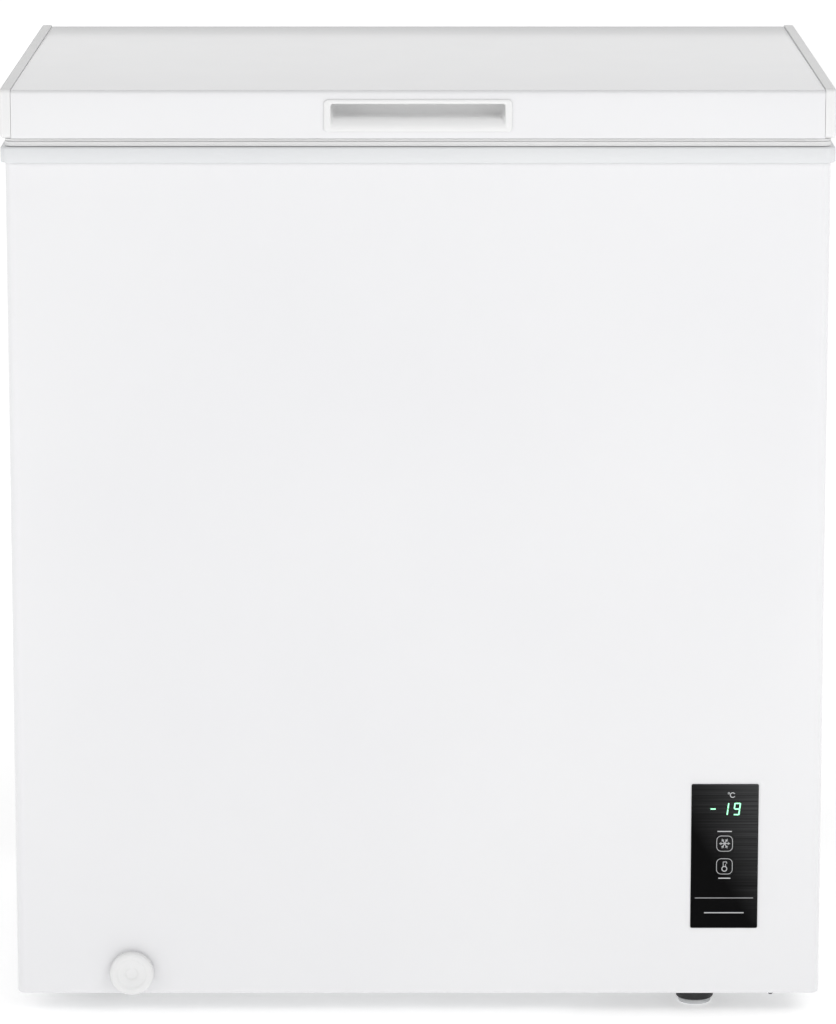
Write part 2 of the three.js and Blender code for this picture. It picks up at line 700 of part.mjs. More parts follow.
piece(
  "liquid_tube",
  tube(
    new BentPath(
      [
        [condenserOut.x, condenserOut.y, condenserOut.z - GAP],
        [condenserOut.x, condenserOut.y, bayTop - 34],
        [condenserOut.x, bodyFront + 60, bayTop - 34],
        [skinX - 14, bodyFront + 60, bayTop - 34],
        [skinX - 14, evaporatorIn.y + 25, bayTop - 34],
        [skinX - 14, evaporatorIn.y + 25, evaporatorIn.z],
        [drierEnd + 140, evaporatorIn.y, evaporatorIn.z],
        [drierEnd + 104 + GAP, evaporatorIn.y, evaporatorIn.z],
      ],
      12,
    ),
    CONDENSER.radius,
  ),
  "copper",
);

// ---------------------------------------------------------------- feet and bolts
const footTop = panelBase - GAP;
const footProfile = [
  [0, FOOT.padHeight], [FOOT.pad + 2, FOOT.padHeight],
  [FOOT.radius, footTop - 2], [FOOT.radius, footTop], [0, footTop],
];
const padProfile = [
  [0, 0], [FOOT.pad - 1, 0], [FOOT.pad, 1], [FOOT.pad, FOOT.padHeight - GAP], [0, FOOT.padHeight - GAP],
];
const rightFootX = bodyHalf - 111;
const leftFootX = -bodyHalf + 76;
const footPlaces = {
  front_right: [rightFootX, bodyFront + 46],
  front_left: [leftFootX, bodyFront + 90],
  rear_right: [rightFootX, bodyBack - 50],
  rear_left: [leftFootX, bodyBack - 50],
};
for (const [corner, [x, y]] of Object.entries(footPlaces)) {
  const foot = new THREE.Group();
  foot.position.set(x, y, 0);
  freezer.add(foot);
  piece(`foot_${corner}`, turned(footProfile, 16), "blackPlastic", foot);
  piece(`foot_pad_${corner}`, turned(padProfile, 16), "greyPlastic", foot);
}
for (const [side, x] of [["left", rightFootX - 53], ["right", rightFootX + 41]])
  piece(`tray_bolt_${side}`, rod([x, bodyFront + 40, hem - 6], [x, bodyFront + 40, footTop], 5, 6), "zinc");

// ---------------------------------------------------------------- basket
// The envelope of the wire basket: a tray with two hooks at the front and two at the back.
const basketFront = inner.front + BASKET.side;
const basketBack = inner.back - BASKET.side;
const basketRight = inner.x - BASKET.fromRight;
const basketLeft = basketRight - BASKET.width;
const basketTop = ledgeTop + GAP + BASKET.hook;
const basketBase = ledgeTop - BASKET.height;
const hooks = [basketLeft + 30, basketRight - 60].flatMap((x) => [
  block(x, x + 30, inner.front - LEDGE + 2, basketFront + 1, ledgeTop + GAP, basketTop),
  block(x, x + 30, basketBack - 1, inner.back + LEDGE - 2, ledgeTop + GAP, basketTop),
]);
piece(
  "basket",
  cut(
    join(block(basketLeft, basketRight, basketFront, basketBack, basketBase, basketTop), ...hooks),
    block(
      basketLeft + BASKET.wall, basketRight - BASKET.wall,
      basketFront + BASKET.wall, basketBack - BASKET.wall,
      basketBase + BASKET.wall, basketTop + 1,
    ),
  ),
  "wire",
);

// ---------------------------------------------------------------- hinges
const pinHole = PIN_RADIUS + GAP;
const channelBase = rimBase - HINGE_LENGTH;
const channelBack = lidBack + HINGE_REACH;
const springSeat = channelBase + HINGE_PLATE + GAP;
const noseTip = axisZ - NOSE;
const padThick = 13;
const stemBase = springSeat + 33;
// Below the pin the leaf is a cam. Its lowest point rises evenly as the lid opens, so the plunger follows.
const camOutline = [[-CAM_RATE, 0]];
for (const step of evenly(0, 1, 9)) {
  const angle = step * LID_OPEN;
  const drop = NOSE - CAM_RATE * angle;
  camOutline.push([
    drop * Math.sin(angle) - CAM_RATE * Math.cos(angle),
    -drop * Math.cos(angle) - CAM_RATE * Math.sin(angle),
  ]);
}
function hingePieces(side, centreX, pinDirection) {
  const hinge = new THREE.Group();
  hinge.position.x = centreX;
  freezer.add(hinge);
  const wallX = HINGE_HALF - HINGE_PLATE;
  const channel = polygon([
    [-HINGE_HALF - 12, bodyBack + GAP],
    [-wallX, bodyBack + GAP],
    [-wallX, channelBack - HINGE_PLATE],
    [wallX, channelBack - HINGE_PLATE],
    [wallX, bodyBack + GAP],
    [HINGE_HALF + 12, bodyBack + GAP],
    [HINGE_HALF + 12, bodyBack + GAP + HINGE_PLATE],
    [HINGE_HALF, bodyBack + GAP + HINGE_PLATE],
    [HINGE_HALF, channelBack],
    [-HINGE_HALF, channelBack],
    [-HINGE_HALF, bodyBack + GAP + HINGE_PLATE],
    [-HINGE_HALF - 12, bodyBack + GAP + HINGE_PLATE],
  ]);
  const ears = [-HINGE_HALF, wallX].flatMap((x) => [
    block(x, x + HINGE_PLATE, lidBack + GAP, channelBack, rimBase - 3, axisZ),
    rod([x, axisY, axisZ], [x + HINGE_PLATE, axisY, axisZ], 7, 16),
  ]);
  piece(
    `hinge_${side}_bracket`,
    cut(
      join(
        alongZ(channel, channelBase, rimBase - 2),
        block(-HINGE_HALF, HINGE_HALF, bodyBack + GAP, channelBack, channelBase, channelBase + HINGE_PLATE),
        ...ears,
      ),
      rod([-HINGE_HALF - 1, axisY, axisZ], [HINGE_HALF + 1, axisY, axisZ], pinHole, 16),
    ),
    "zinc",
    hinge,
  );
  const leafX = wallX - 3;
  piece(
    `hinge_${side}_leaf`,
    cut(
      join(
        block(-leafX, leafX, lidBack + GAP, lidBack + GAP + HINGE_PLATE, axisZ, HEIGHT - 8),
        block(-leafX, leafX, lidBack + GAP, axisY - PIN_RADIUS, axisZ, axisZ + 8),
        rod([-leafX, axisY, axisZ], [leafX, axisY, axisZ], PIN_RADIUS * 2, 16),
        alongX(polygon(camOutline), -8, 8).translate(0, axisY, axisZ),
      ),
      rod([-leafX - 1, axisY, axisZ], [leafX + 1, axisY, axisZ], pinHole, 16),
    ),
    "zinc",
    hinge,
  );
  const head = pinDirection * HINGE_HALF;
  piece(
    `hinge_${side}_pin`,
    join(
      rod([-HINGE_HALF - 1.5, axisY, axisZ], [HINGE_HALF + 1.5, axisY, axisZ], PIN_RADIUS, 16),
      rod([head + pinDirection * GAP, axisY, axisZ], [head + pinDirection * (GAP + 2), axisY, axisZ], 5, 16),
    ),
    "zinc",
    hinge,
  );
  const plungerTop = noseTip - GAP;
  const plungerProfile = [
    [0, stemBase], [PIN_RADIUS, stemBase], [PIN_RADIUS, plungerTop - padThick], [8.5, plungerTop - padThick],
    [8.5, plungerTop], [0, plungerTop],
  ];
  const plunger = piece(`hinge_${side}_plunger`, turned(plungerProfile, 16), "blackPlastic", hinge);
  plunger.position.y = axisY;
  const springTop = plungerTop - padThick - GAP - SPRING_WIRE;
  const springLow = springSeat + SPRING_WIRE;
  const coil = new (class extends THREE.Curve {
    getPoint(t, target = new THREE.Vector3()) {
      const angle = t * SPRING_TURNS * Math.PI * 2;
      const rise = t * (springTop - springLow);
      return target.set(Math.cos(angle) * SPRING_RADIUS, Math.sin(angle) * SPRING_RADIUS, rise);
    }
  })();
  coil.points = { length: SPRING_TURNS * 8 + 1 };
  const spring = piece(`hinge_${side}_spring`, tube(coil, SPRING_WIRE, 4), "zinc", hinge);
  spring.position.set(0, axisY, springLow);
}
hingePieces("left", -half + HINGE_SIDE, -1);
hingePieces("right", half - HINGE_SIDE, 1);

// ---------------------------------------------------------------- lid
const lid = new THREE.Group();
freezer.add(lid);
const sheetTop = HEIGHT - CAP_PROUD;
const lidHalf = half - CAP_WIDTH - GAP; // the sheet between the end caps
const handleLow = HANDLE.centreZ - HANDLE.height / 2;
const handleHigh = HANDLE.centreZ + HANDLE.height / 2;
const HANDLE_LIP = 1.5; // the bezel's width above and below the pocket
const handleBox = (grow, y0, y1) => {
  const inset = HANDLE.flange - grow;
  const pocketHalf = HANDLE.width / 2 - inset;
  const lip = HANDLE_LIP - grow;
  return block(-pocketHalf, pocketHalf, y0, y1, handleLow + lip, handleHigh - lip);
};
// The top sheet seen from the side: down at the front and at the back, over two rolled edges.
function lidSection(inset) {
  const radius = LID_BEND - inset;
  const z = sheetTop - inset;
  const bend = (cy, a0, a1) =>
    new THREE.EllipseCurve(cy, z - radius, radius, radius, a0, a1, true).getPoints(3).map((p) => [p.x, p.y]);
  return [
    [lidFront + inset, lidBase],
    ...bend(lidFront + inset + radius, Math.PI, Math.PI / 2),
    ...bend(lidBack - inset - radius, Math.PI / 2, 0),
    [lidBack - inset, lidBase],
  ];
}
piece(
  "lid_outer_shell",
  cut(
    alongX(polygon([...lidSection(SHEET), ...lidSection(0).reverse()]), -lidHalf, lidHalf),
    handleBox(GAP, lidFront - 5, lidFront + 5),
  ),
  "whitePaint",
  lid,
);

// Each end cap is a thick lath with its outer edges rounded, cut flat where it meets the sheet.
function endCap(sign) {
  const soft = 3;
  const outline = roundedRectangle(lidFront + soft, lidBack - soft, lidBase + soft, HEIGHT - soft, 3);
  const lath = new THREE.ExtrudeGeometry(outline, {
    depth: CAP_WIDTH,
    bevelThickness: soft,
    bevelSize: soft,
    bevelSegments: 2,
    curveSegments: 2,
  })
    .applyMatrix4(new THREE.Matrix4().makeBasis(AXES.y, AXES.z, AXES.x))
    .translate(-CAP_WIDTH - soft, 0, 0);
  if (sign < 0) lath.rotateZ(Math.PI).translate(0, lidFront + lidBack, 0);
  lath.translate(sign * half, 0, 0);
  const inside = sign * (half - CAP_WIDTH);
  const beyond = inside - sign * 30;
  return cut(
    lath,
    block(Math.min(inside, beyond), Math.max(inside, beyond), lidFront - 5, lidBack + 5, 0, HEIGHT + 5),
  );
}
piece("lid_end_cap_left", endCap(-1), "whitePlastic", lid);
piece("lid_end_cap_right", endCap(1), "whitePlastic", lid);

// The recessed grip: a framed pocket whose floor slopes up and whose ceiling is undercut for the fingers.
const pocketLow = handleLow + 3;
const pocketHigh = handleHigh - 3.6;
const pocket = alongX(
  polygon([
    [lidFront - 5, pocketLow - 2.2],
    [lidFront + HANDLE.depth - HANDLE.wall, pocketLow + 12],
    [lidFront + HANDLE.depth - HANDLE.wall, pocketHigh + 1],
    [lidFront + 3, pocketHigh + 1],
    [lidFront + 3, pocketHigh],
    [lidFront - 5, pocketHigh],
  ]),
  -HANDLE.width / 2 + 6,
  HANDLE.width / 2 - 6,
);
piece(
  "lid_handle_insert",
  cut(
    join(
      alongY(
        roundedRectangle(-HANDLE.width / 2, HANDLE.width / 2, handleLow, handleHigh, 3),
        lidFront - HANDLE.proud, lidFront - GAP,
      ),
      handleBox(0, lidFront - HANDLE.proud, lidFront + HANDLE.depth),
    ),
    pocket,
  ),
  "whitePlastic",
  lid,
);

const dishX = half - LID_MARGIN;
const dishFront = lidFront + LID_MARGIN;
const dishBack = lidBack - LID_MARGIN;
const dish = (grow, z0, z1) =>
  alongZ(roundedRectangle(-dishX - grow, dishX + grow, dishFront - grow, dishBack + grow, 12 + grow), z0, z1);
const liningEdge = SHEET + GAP;
piece(
  "lid_foam",
  cut(
    alongX(
      roundedRectangle(
        lidFront + liningEdge,
        lidBack - liningEdge,
        lidBase + LID_LINER + GAP,
        sheetTop - liningEdge,
        LID_BEND - liningEdge,
      ),
      -lidHalf, lidHalf,
    ),
    handleBox(GAP, lidFront, lidFront + HANDLE.depth + GAP),
    dish(LID_LINER + GAP, lidBase, lidBase + LID_DISH + LID_LINER + GAP),
  ),
  "foam",
  lid,
);
piece(
  "lid_inner_liner",
  cut(
    join(
      block(-lidHalf, lidHalf, lidFront + liningEdge, lidBack - liningEdge, lidBase, lidBase + LID_LINER),
      dish(LID_LINER, lidBase, lidBase + LID_DISH + LID_LINER),
    ),
    dish(0, lidBase - 1, lidBase + LID_DISH),
  ),
  "whitePlastic",
  lid,
);
const gasketRing = (inset) => [
  -half + inset, half - inset, lidFront + inset, lidBack - inset, Math.max(2, RIM_RADIUS - inset / 2),
];
piece(
  "lid_gasket",
  frame(gasketRing(GASKET_INSET), gasketRing(GASKET_INSET + GASKET_WIDTH), rimTop + GAP, lidBase - GAP),
  "gasket",
  lid,
);

export default freezer;
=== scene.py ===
# %% [markdown]
# # A chest freezer
# A small white chest freezer: a foamed steel cabinet on four feet, a lid on two sprung hinges, a dark
# control panel, a drain dial, and a compressor behind grilles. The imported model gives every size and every
# moving body, so this script only adds looks: finer shapes for what shows, and a procedural finish for each
# material.

# %% Load the frame
import math

import bmesh
import bpy
from mathutils import Euler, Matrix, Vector


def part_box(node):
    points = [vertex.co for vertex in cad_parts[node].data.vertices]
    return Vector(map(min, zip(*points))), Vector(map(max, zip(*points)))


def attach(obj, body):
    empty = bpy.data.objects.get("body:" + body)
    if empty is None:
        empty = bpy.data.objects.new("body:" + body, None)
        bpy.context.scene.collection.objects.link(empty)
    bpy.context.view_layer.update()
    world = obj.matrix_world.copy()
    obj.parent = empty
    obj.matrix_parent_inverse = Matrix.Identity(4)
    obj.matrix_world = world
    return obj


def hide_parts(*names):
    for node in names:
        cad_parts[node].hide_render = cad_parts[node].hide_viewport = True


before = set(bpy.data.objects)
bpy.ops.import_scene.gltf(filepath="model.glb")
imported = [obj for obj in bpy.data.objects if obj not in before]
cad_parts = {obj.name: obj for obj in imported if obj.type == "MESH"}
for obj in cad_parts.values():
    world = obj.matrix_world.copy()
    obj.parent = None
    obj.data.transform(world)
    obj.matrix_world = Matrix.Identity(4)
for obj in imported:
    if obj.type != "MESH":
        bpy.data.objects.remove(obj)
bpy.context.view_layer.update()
MM = 0.001

# %% [markdown]
# ## Where things are
# Every place is read from the frame. The lid's front face, the cabinet's front face and the rim give the
# planes that the new pieces sit on.

# %% Planes and sizes
lid_low, lid_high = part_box("lid_outer_shell")
skin_low, skin_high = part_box("cabinet_wrapper")
rim_low, rim_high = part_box("top_rim")
liner_low, liner_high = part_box("inner_liner")
back_low, back_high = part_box("back_panel")
HALF = rim_high[0]
LID_FRONT = lid_low[1]
BODY_FRONT, BODY_BACK = skin_low[1], back_high[1]
RIM_TOP = rim_high[2] / MM
SHEET = 1.0 * MM
CLOSE = 0.01 * MM  # nearer than this is the same place
CUT = 10 * MM  # a cutting block goes this far through a sheet

# %% [markdown]
# ## Camera
# The freezer is seen straight from the front and a little from above, from a few metres away, so that its
# sides stay almost parallel and the top of the lid shows as a low trapezium.

# %% Camera
CAMERA_DISTANCE = 4.6
CAMERA_HEIGHT = 1.387
CAMERA_TILT = math.radians(11.28)
SENSOR_WIDTH = 36.0
FOCAL_LENGTH = 184.0
camera_data = bpy.data.cameras.new("camera")
camera_data.sensor_width = SENSOR_WIDTH
camera_data.lens = FOCAL_LENGTH
camera = bpy.data.objects.new("camera", camera_data)
bpy.context.scene.collection.objects.link(camera)
camera.location = (0.0, LID_FRONT - CAMERA_DISTANCE, CAMERA_HEIGHT)
camera.rotation_euler = (math.pi / 2 - CAMERA_TILT, 0.0, 0.0)
bpy.context.scene.camera = camera

# %% [markdown]
# ## Light and floor
# Soft studio light: a bright even surround, a large softbox high at the right for the highlights along the
# edges, a weaker one at the left, a wide weak one in front, and one behind that brightens the top of the
# lid.

# %% Surround, softboxes and floor
scene = bpy.context.scene
scene.view_settings.view_transform = "Standard"
SURROUND_STRENGTH = 0.54
FLOOR_SIZE = 30.0
world = bpy.data.worlds.new("studio")
scene.world = world
world.use_nodes = True
surround = world.node_tree.nodes["Background"]
surround.inputs["Color"].default_value = (1.0, 1.0, 1.0, 1.0)
surround.inputs["Strength"].default_value = SURROUND_STRENGTH


def softbox(name, location, target, size, power):
    """An area lamp that points at a target. Places and sizes are in metres, the power is in watts."""
    data = bpy.data.lights.new(name, "AREA")
    data.shape = "RECTANGLE"
    data.size, data.size_y = size
    data.energy = power
    lamp = bpy.data.objects.new(name, data)
    scene.collection.objects.link(lamp)
    lamp.location = location
    lamp.rotation_euler = (Vector(target) - Vector(location)).to_track_quat("-Z", "Y").to_euler()
    return lamp


softbox("softbox_right", (2.0, -2.4, 2.0), (0, 0, 0.5), (1.4, 1.4), 22)
softbox("softbox_left", (-2.6, -2.0, 1.4), (0, 0, 0.5), (1.4, 2.0), 14)
softbox("softbox_front", (0.0, -3.8, 2.9), (0, 0, 0.6), (3.2, 0.7), 7)
softbox("softbox_back", (0.3, 2.8, 1.6), (0, 0, 0.5), (2.6, 1.4), 6)


def select_only(obj):
    if bpy.context.mode != "OBJECT":
        bpy.ops.object.mode_set(mode="OBJECT")
    bpy.ops.object.select_all(action="DESELECT")
    if obj:
        obj.select_set(True)
        bpy.context.view_layer.objects.active = obj


select_only(None)
bpy.ops.mesh.primitive_plane_add(size=FLOOR_SIZE, location=(0, 0, 0))
floor = bpy.context.object
floor.name = "floor"

# %% [markdown]
# ## Finishes
# Each finish is a small node tree on object coordinates, which are metres here, so a pattern's scale is its
# real size. Most share one recipe: a base colour that drifts slightly, a roughness that drifts too, and a
# fine bump.


# %% A recipe for finishes
def nodes_of(name):
    material = bpy.data.materials.new(name)
    material.use_nodes = True
    tree = material.node_tree
    shader = tree.nodes["Principled BSDF"]
    coordinates = tree.nodes.new("ShaderNodeTexCoord")
    return material, tree, shader, coordinates.outputs["Object"]


def stretched(tree, vector, scale):
    mapping = tree.nodes.new("ShaderNodeMapping")
    mapping.inputs["Scale"].default_value = scale
    tree.links.new(vector, mapping.inputs["Vector"])
    return mapping.outputs["Vector"]


def noise(tree, vector, scale, detail=3.0, roughness=0.5):
    node = tree.nodes.new("ShaderNodeTexNoise")
    node.inputs["Scale"].default_value = scale
    node.inputs["Detail"].default_value = detail
    node.inputs["Roughness"].default_value = roughness
    tree.links.new(vector, node.inputs["Vector"])
    return node.outputs["Fac"]


def between(tree, factor, low, high, near=0.0, far=1.0):
    """Maps a value from near to far onto the range from low to high."""
    node = tree.nodes.new("ShaderNodeMapRange")
    node.inputs["From Min"].default_value = near
    node.inputs["From Max"].default_value = far
    node.inputs["To Min"].default_value = low
    node.inputs["To Max"].default_value = high
    tree.links.new(factor, node.inputs["Value"])
    return node.outputs["Result"]


def tinted(tree, factor, dark, light, start=0.3, end=0.7):
    ramp = tree.nodes.new("ShaderNodeValToRGB")
    ramp.color_ramp.elements[0].position = start
    ramp.color_ramp.elements[0].color = (*dark, 1.0)
    ramp.color_ramp.elements[1].position = end
    ramp.color_ramp.elements[1].color = (*light, 1.0)
    tree.links.new(factor, ramp.inputs["Fac"])
    return ramp.outputs["Color"]


def paint(tree, shader, colour, roughness=None):
    """Links a colour and, if it varies, a roughness to the shader."""
    tree.links.new(colour, shader.inputs["Base Color"])
    if roughness:
        tree.links.new(roughness, shader.inputs["Roughness"])


def bump(tree, shader, heights):
    """Stacks bumps: heights is a list of (height socket, depth in metres)."""
    normal = None
    for height, depth in heights:
        node = tree.nodes.new("ShaderNodeBump")
        node.inputs["Strength"].default_value = 1.0
        node.inputs["Distance"].default_value = depth
        tree.links.new(height, node.inputs["Height"])
        if normal:
            tree.links.new(normal, node.inputs["Normal"])
        normal = node.outputs["Normal"]
    tree.links.new(normal, shader.inputs["Normal"])


COAT_ROUGHNESS = 0.06
FASTER = 9.0  # the roughness drifts this many times faster than the colour


def finish(name, dark, light, rough, metallic=0.0, drift=4.0, grain=900.0, depth=0.02 * MM, coat=0.0):
    """The shared recipe. drift and grain are the scales of the colour's noise and of the bump's noise."""
    material, tree, shader, place = nodes_of(name)
    shader.inputs["Metallic"].default_value = metallic
    if coat:
        shader.inputs["Coat Weight"].default_value = coat
        shader.inputs["Coat Roughness"].default_value = COAT_ROUGHNESS
    colour = tinted(tree, noise(tree, place, drift), dark, light)
    paint(tree, shader, colour, between(tree, noise(tree, place, drift * FASTER), *rough))
    bump(tree, shader, [(noise(tree, place, grain, 2.0), depth)])
    return material


# %% [markdown]
# ### White paint
# The cabinet and the lid are coated steel. Its gloss comes from a clear top layer over a slightly softer
# white. Close up there is a faint orange peel, and over a whole panel the sheet is a fraction of a
# millimetre wavy.

# %% Painted steel
def painted_steel():
    material, tree, shader, place = nodes_of("white_paint")
    shader.inputs["Coat Weight"].default_value = 0.5
    shader.inputs["Coat Roughness"].default_value = 0.08
    colour = tinted(tree, noise(tree, place, 2.2), (0.80, 0.80, 0.815), (0.83, 0.83, 0.84))
    paint(tree, shader, colour, between(tree, noise(tree, place, 30.0), 0.28, 0.35))
    peel = noise(tree, place, 320.0, 0.0)
    wave = noise(tree, place, 4.0, 0.0)
    bump(tree, shader, [(wave, 0.4 * MM), (peel, 0.003 * MM)])
    return material


def grey(level, blue=0.0):
    return (level, level, level + blue)


white_paint = painted_steel()
white_plastic = finish("white_plastic", grey(0.80), grey(0.83), (0.30, 0.40), grain=1400.0, depth=0.015 * MM)
rim_plastic = finish("rim_plastic", (0.72, 0.73, 0.745), (0.75, 0.76, 0.77), (0.34, 0.46), grain=1100.0)
gasket_vinyl = finish("gasket_vinyl", grey(0.76), grey(0.80), (0.55, 0.70), grain=700.0)
black_plastic = finish(
    "black_plastic", grey(0.012, 0.001), grey(0.022, 0.002), (0.45, 0.6), grain=1500.0, depth=0.04 * MM
)
black_rubber = finish(
    "black_rubber", grey(0.014), grey(0.028, -0.001), (0.7, 0.85), grain=800.0, depth=0.05 * MM
)
black_enamel = finish(
    "black_enamel", grey(0.010, 0.002), grey(0.020, 0.003), (0.28, 0.42), drift=12.0, grain=300.0, coat=0.3
)
copper_tube = finish(
    "copper_tube", (0.50, 0.22, 0.12), (0.68, 0.34, 0.20), (0.28, 0.5), metallic=1.0, drift=25.0
)
spring_steel = finish(
    "spring_steel", grey(0.34, 0.01), grey(0.46, 0.01), (0.28, 0.42), metallic=1.0, drift=40.0
)
coated_wire = finish("coated_wire", grey(0.80), grey(0.84), (0.28, 0.36), grain=500.0, coat=0.4)
green_board = finish("green_board", (0.015, 0.10, 0.035), (0.03, 0.16, 0.06), (0.35, 0.5), drift=60.0)


# %% [markdown]
# ### Sheet metals and foam
# Galvanised sheet shows spangle: crystals of zinc some centimetres across, each a slightly different grey.
# The compartment's aluminium is rolled with a fine pebbled pattern. Rigid foam is full of small cells.

# %% Galvanised sheet, pebbled aluminium, foam
def galvanised():
    material, tree, shader, place = nodes_of("galvanised_sheet")
    shader.inputs["Metallic"].default_value = 1.0
    cells = tree.nodes.new("ShaderNodeTexVoronoi")
    cells.inputs["Scale"].default_value = 110.0
    cells.inputs["Randomness"].default_value = 1.0
    tree.links.new(place, cells.inputs["Vector"])
    shade = tree.nodes.new("ShaderNodeSeparateColor")
    tree.links.new(cells.outputs["Color"], shade.inputs["Color"])
    facet = shade.outputs["Red"]
    colour = tinted(tree, facet, (0.47, 0.48, 0.49), (0.62, 0.63, 0.64), 0.0, 1.0)
    paint(tree, shader, colour, between(tree, facet, 0.32, 0.5))
    waves = noise(tree, place, 6.0, 1.0)
    grain = noise(tree, place, 900.0, 2.0)
    bump(tree, shader, [(waves, 0.8 * MM), (grain, 0.01 * MM)])
    return material


def pebbled_aluminium():
    material, tree, shader, place = nodes_of("pebbled_aluminium")
    shader.inputs["Metallic"].default_value = 1.0
    colour = tinted(tree, noise(tree, place, 3.0), (0.70, 0.71, 0.72), (0.78, 0.79, 0.80))
    paint(tree, shader, colour, between(tree, noise(tree, place, 40.0), 0.28, 0.4))
    pebbles = tree.nodes.new("ShaderNodeTexVoronoi")
    pebbles.feature = "SMOOTH_F1"
    pebbles.inputs["Scale"].default_value = 260.0
    tree.links.new(place, pebbles.inputs["Vector"])
    bump(tree, shader, [(pebbles.outputs["Distance"], 0.6 * MM)])
    return material


def rigid_foam():
    material, tree, shader, place = nodes_of("rigid_foam")
    paint(tree, shader, tinted(tree, noise(tree, place, 60.0), (0.60, 0.48, 0.24), (0.74, 0.63, 0.38)))
    shader.inputs["Roughness"].default_value = 0.9
    cells = tree.nodes.new("ShaderNodeTexVoronoi")
    cells.inputs["Scale"].default_value = 700.0
    tree.links.new(place, cells.inputs["Vector"])
    bump(tree, shader, [(cells.outputs["Distance"], 0.5 * MM)])
    return material


def lit_floor():
    """A pale floor that glows more and more with distance, like a sweep that is lit from behind."""
    material, tree, shader, place = nodes_of("studio_floor")
    colour = tinted(tree, noise(tree, place, 0.5), grey(0.86), grey(0.88))
    paint(tree, shader, colour, between(tree, noise(tree, place, 20.0), 0.6, 0.7))
    bump(tree, shader, [(noise(tree, place, 60.0), 0.02 * MM)])
    distance = tree.nodes.new("ShaderNodeVectorMath")
    distance.operation = "LENGTH"
    tree.links.new(place, distance.inputs[0])
    glow = between(tree, distance.outputs["Value"], 0.42, 0.58, near=0.3, far=1.6)
    glow.node.interpolation_type = "SMOOTHSTEP"
    shader.inputs["Emission Color"].default_value = (1.0, 1.0, 1.0, 1.0)
    tree.links.new(glow, shader.inputs["Emission Strength"])
    return material


floor.data.materials.append(lit_floor())
zinc_sheet = galvanised()
liner_metal = pebbled_aluminium()
foam = rigid_foam()


# %% [markdown]
# ### Control panel
# A dark glossy sheet behind clear plastic, printed with very fine level lines; its colour also carries a
# painted sheen that lightens it towards the upper right. The digits glow green, and the printed marks are
# pale grey.

# %% Panel finishes
def lined_black():
    """Level lines that show most towards the upper right, where a painted sheen lightens the colour in place
    of the gloss's reflection.
    """
    material, tree, shader, place = nodes_of("lined_black_panel")
    lines = noise(tree, stretched(tree, place, (6.0, 6.0, 1500.0)), 1.0, 1.0)
    # Painted sheen: a ramp across the face lightens the colour towards the upper right, standing in for the
    # lamps' reflection in the gloss.
    across = tree.nodes.new("ShaderNodeVectorMath")
    across.operation = "DOT_PRODUCT"
    across.inputs[1].default_value = (7.5, 0.0, 4.5)
    tree.links.new(place, across.inputs[0])
    light = between(tree, across.outputs["Value"], 0.0, 1.0, near=2.65, far=3.35)
    painted_sheen = tree.nodes.new("ShaderNodeMath")
    painted_sheen.operation = "MULTIPLY"
    tree.links.new(between(tree, lines, -0.2, 1.6), painted_sheen.inputs[0])
    tree.links.new(light, painted_sheen.inputs[1])
    colour = tinted(tree, painted_sheen.outputs["Value"], (0.003, 0.003, 0.0032), (0.075, 0.076, 0.078), 0.0, 1.0)
    paint(tree, shader, colour, between(tree, lines, 0.28, 0.42))
    shader.inputs["Specular IOR Level"].default_value = 0.03
    bump(tree, shader, [(lines, 0.01 * MM)])
    return material


def glowing(name, colour, strength):
    material, tree, shader, place = nodes_of(name)
    shader.inputs["Emission Strength"].default_value = strength
    glow = tinted(tree, noise(tree, place, 400.0), colour, [channel * 0.9 for channel in colour])
    tree.links.new(glow, shader.inputs["Emission Color"])
    darker = [channel * 0.8 for channel in colour]
    paint(tree, shader, tinted(tree, noise(tree, place, 300.0), colour, darker))
    return material


panel_black = lined_black()
lit_green = glowing("lit_green", (0.36, 1.0, 0.58), 1.05)
print_grey = finish("print_grey", (0.52, 0.53, 0.54), (0.60, 0.61, 0.62), (0.4, 0.5), drift=90.0)

# %% [markdown]
# ## Modelling helpers
# Most pieces here are one of four kinds: a block with rounded edges, a loft through rounded rectangles, a
# shape turned round an axis, or a wire bent along a path. Each kind has one helper that works with
# edit-mode operators.

# %% Selecting and rounding
FACINGS = {
    "up": (0, 0, 0),
    "front": (90, 0, 0),
    "back": (90, 0, 180),
    "right": (90, 0, 90),
    "left": (90, 0, -90),
    "down": (180, 0, 0),
}


MERGE = 0.001 * MM


def mm(*values):
    return tuple(value * MM for value in values)


def middle(low, high):
    return [(a + b) / 2 for a, b in zip(low, high)]


def edit(obj):
    select_only(obj)
    bpy.ops.object.mode_set(mode="EDIT")
    bpy.ops.mesh.select_mode(type="VERT")
    bpy.ops.mesh.select_all(action="DESELECT")


def choose(kind, test):
    """In edit mode, selects the vertices, edges or faces that pass the test."""
    bpy.ops.mesh.select_mode(type=kind)
    bpy.ops.mesh.select_all(action="DESELECT")
    mesh = bmesh.from_edit_mesh(bpy.context.object.data)
    for item in {"VERT": mesh.verts, "EDGE": mesh.edges, "FACE": mesh.faces}[kind]:
        item.select_set(bool(test(item)))
    mesh.select_flush_mode()
    bmesh.update_edit_mesh(bpy.context.object.data)


def tidy_surface():
    """In edit mode: merges doubles, drops slivers and turns all faces outwards."""
    bpy.ops.mesh.select_all(action="SELECT")
    bpy.ops.mesh.remove_doubles(threshold=MERGE)
    bpy.ops.mesh.dissolve_degenerate(threshold=MERGE)
    bpy.ops.mesh.normals_make_consistent(inside=False)
    bpy.ops.object.mode_set(mode="OBJECT")


def settle(obj, facing="up", at=(0, 0, 0)):
    """Turns the piece to face a side, puts it in place and leaves its object at the origin."""
    select_only(obj)
    obj.rotation_euler = Euler([math.radians(a) for a in FACINGS[facing]])
    obj.location = at
    bpy.ops.object.transform_apply(location=True, rotation=True, scale=True)
    return obj


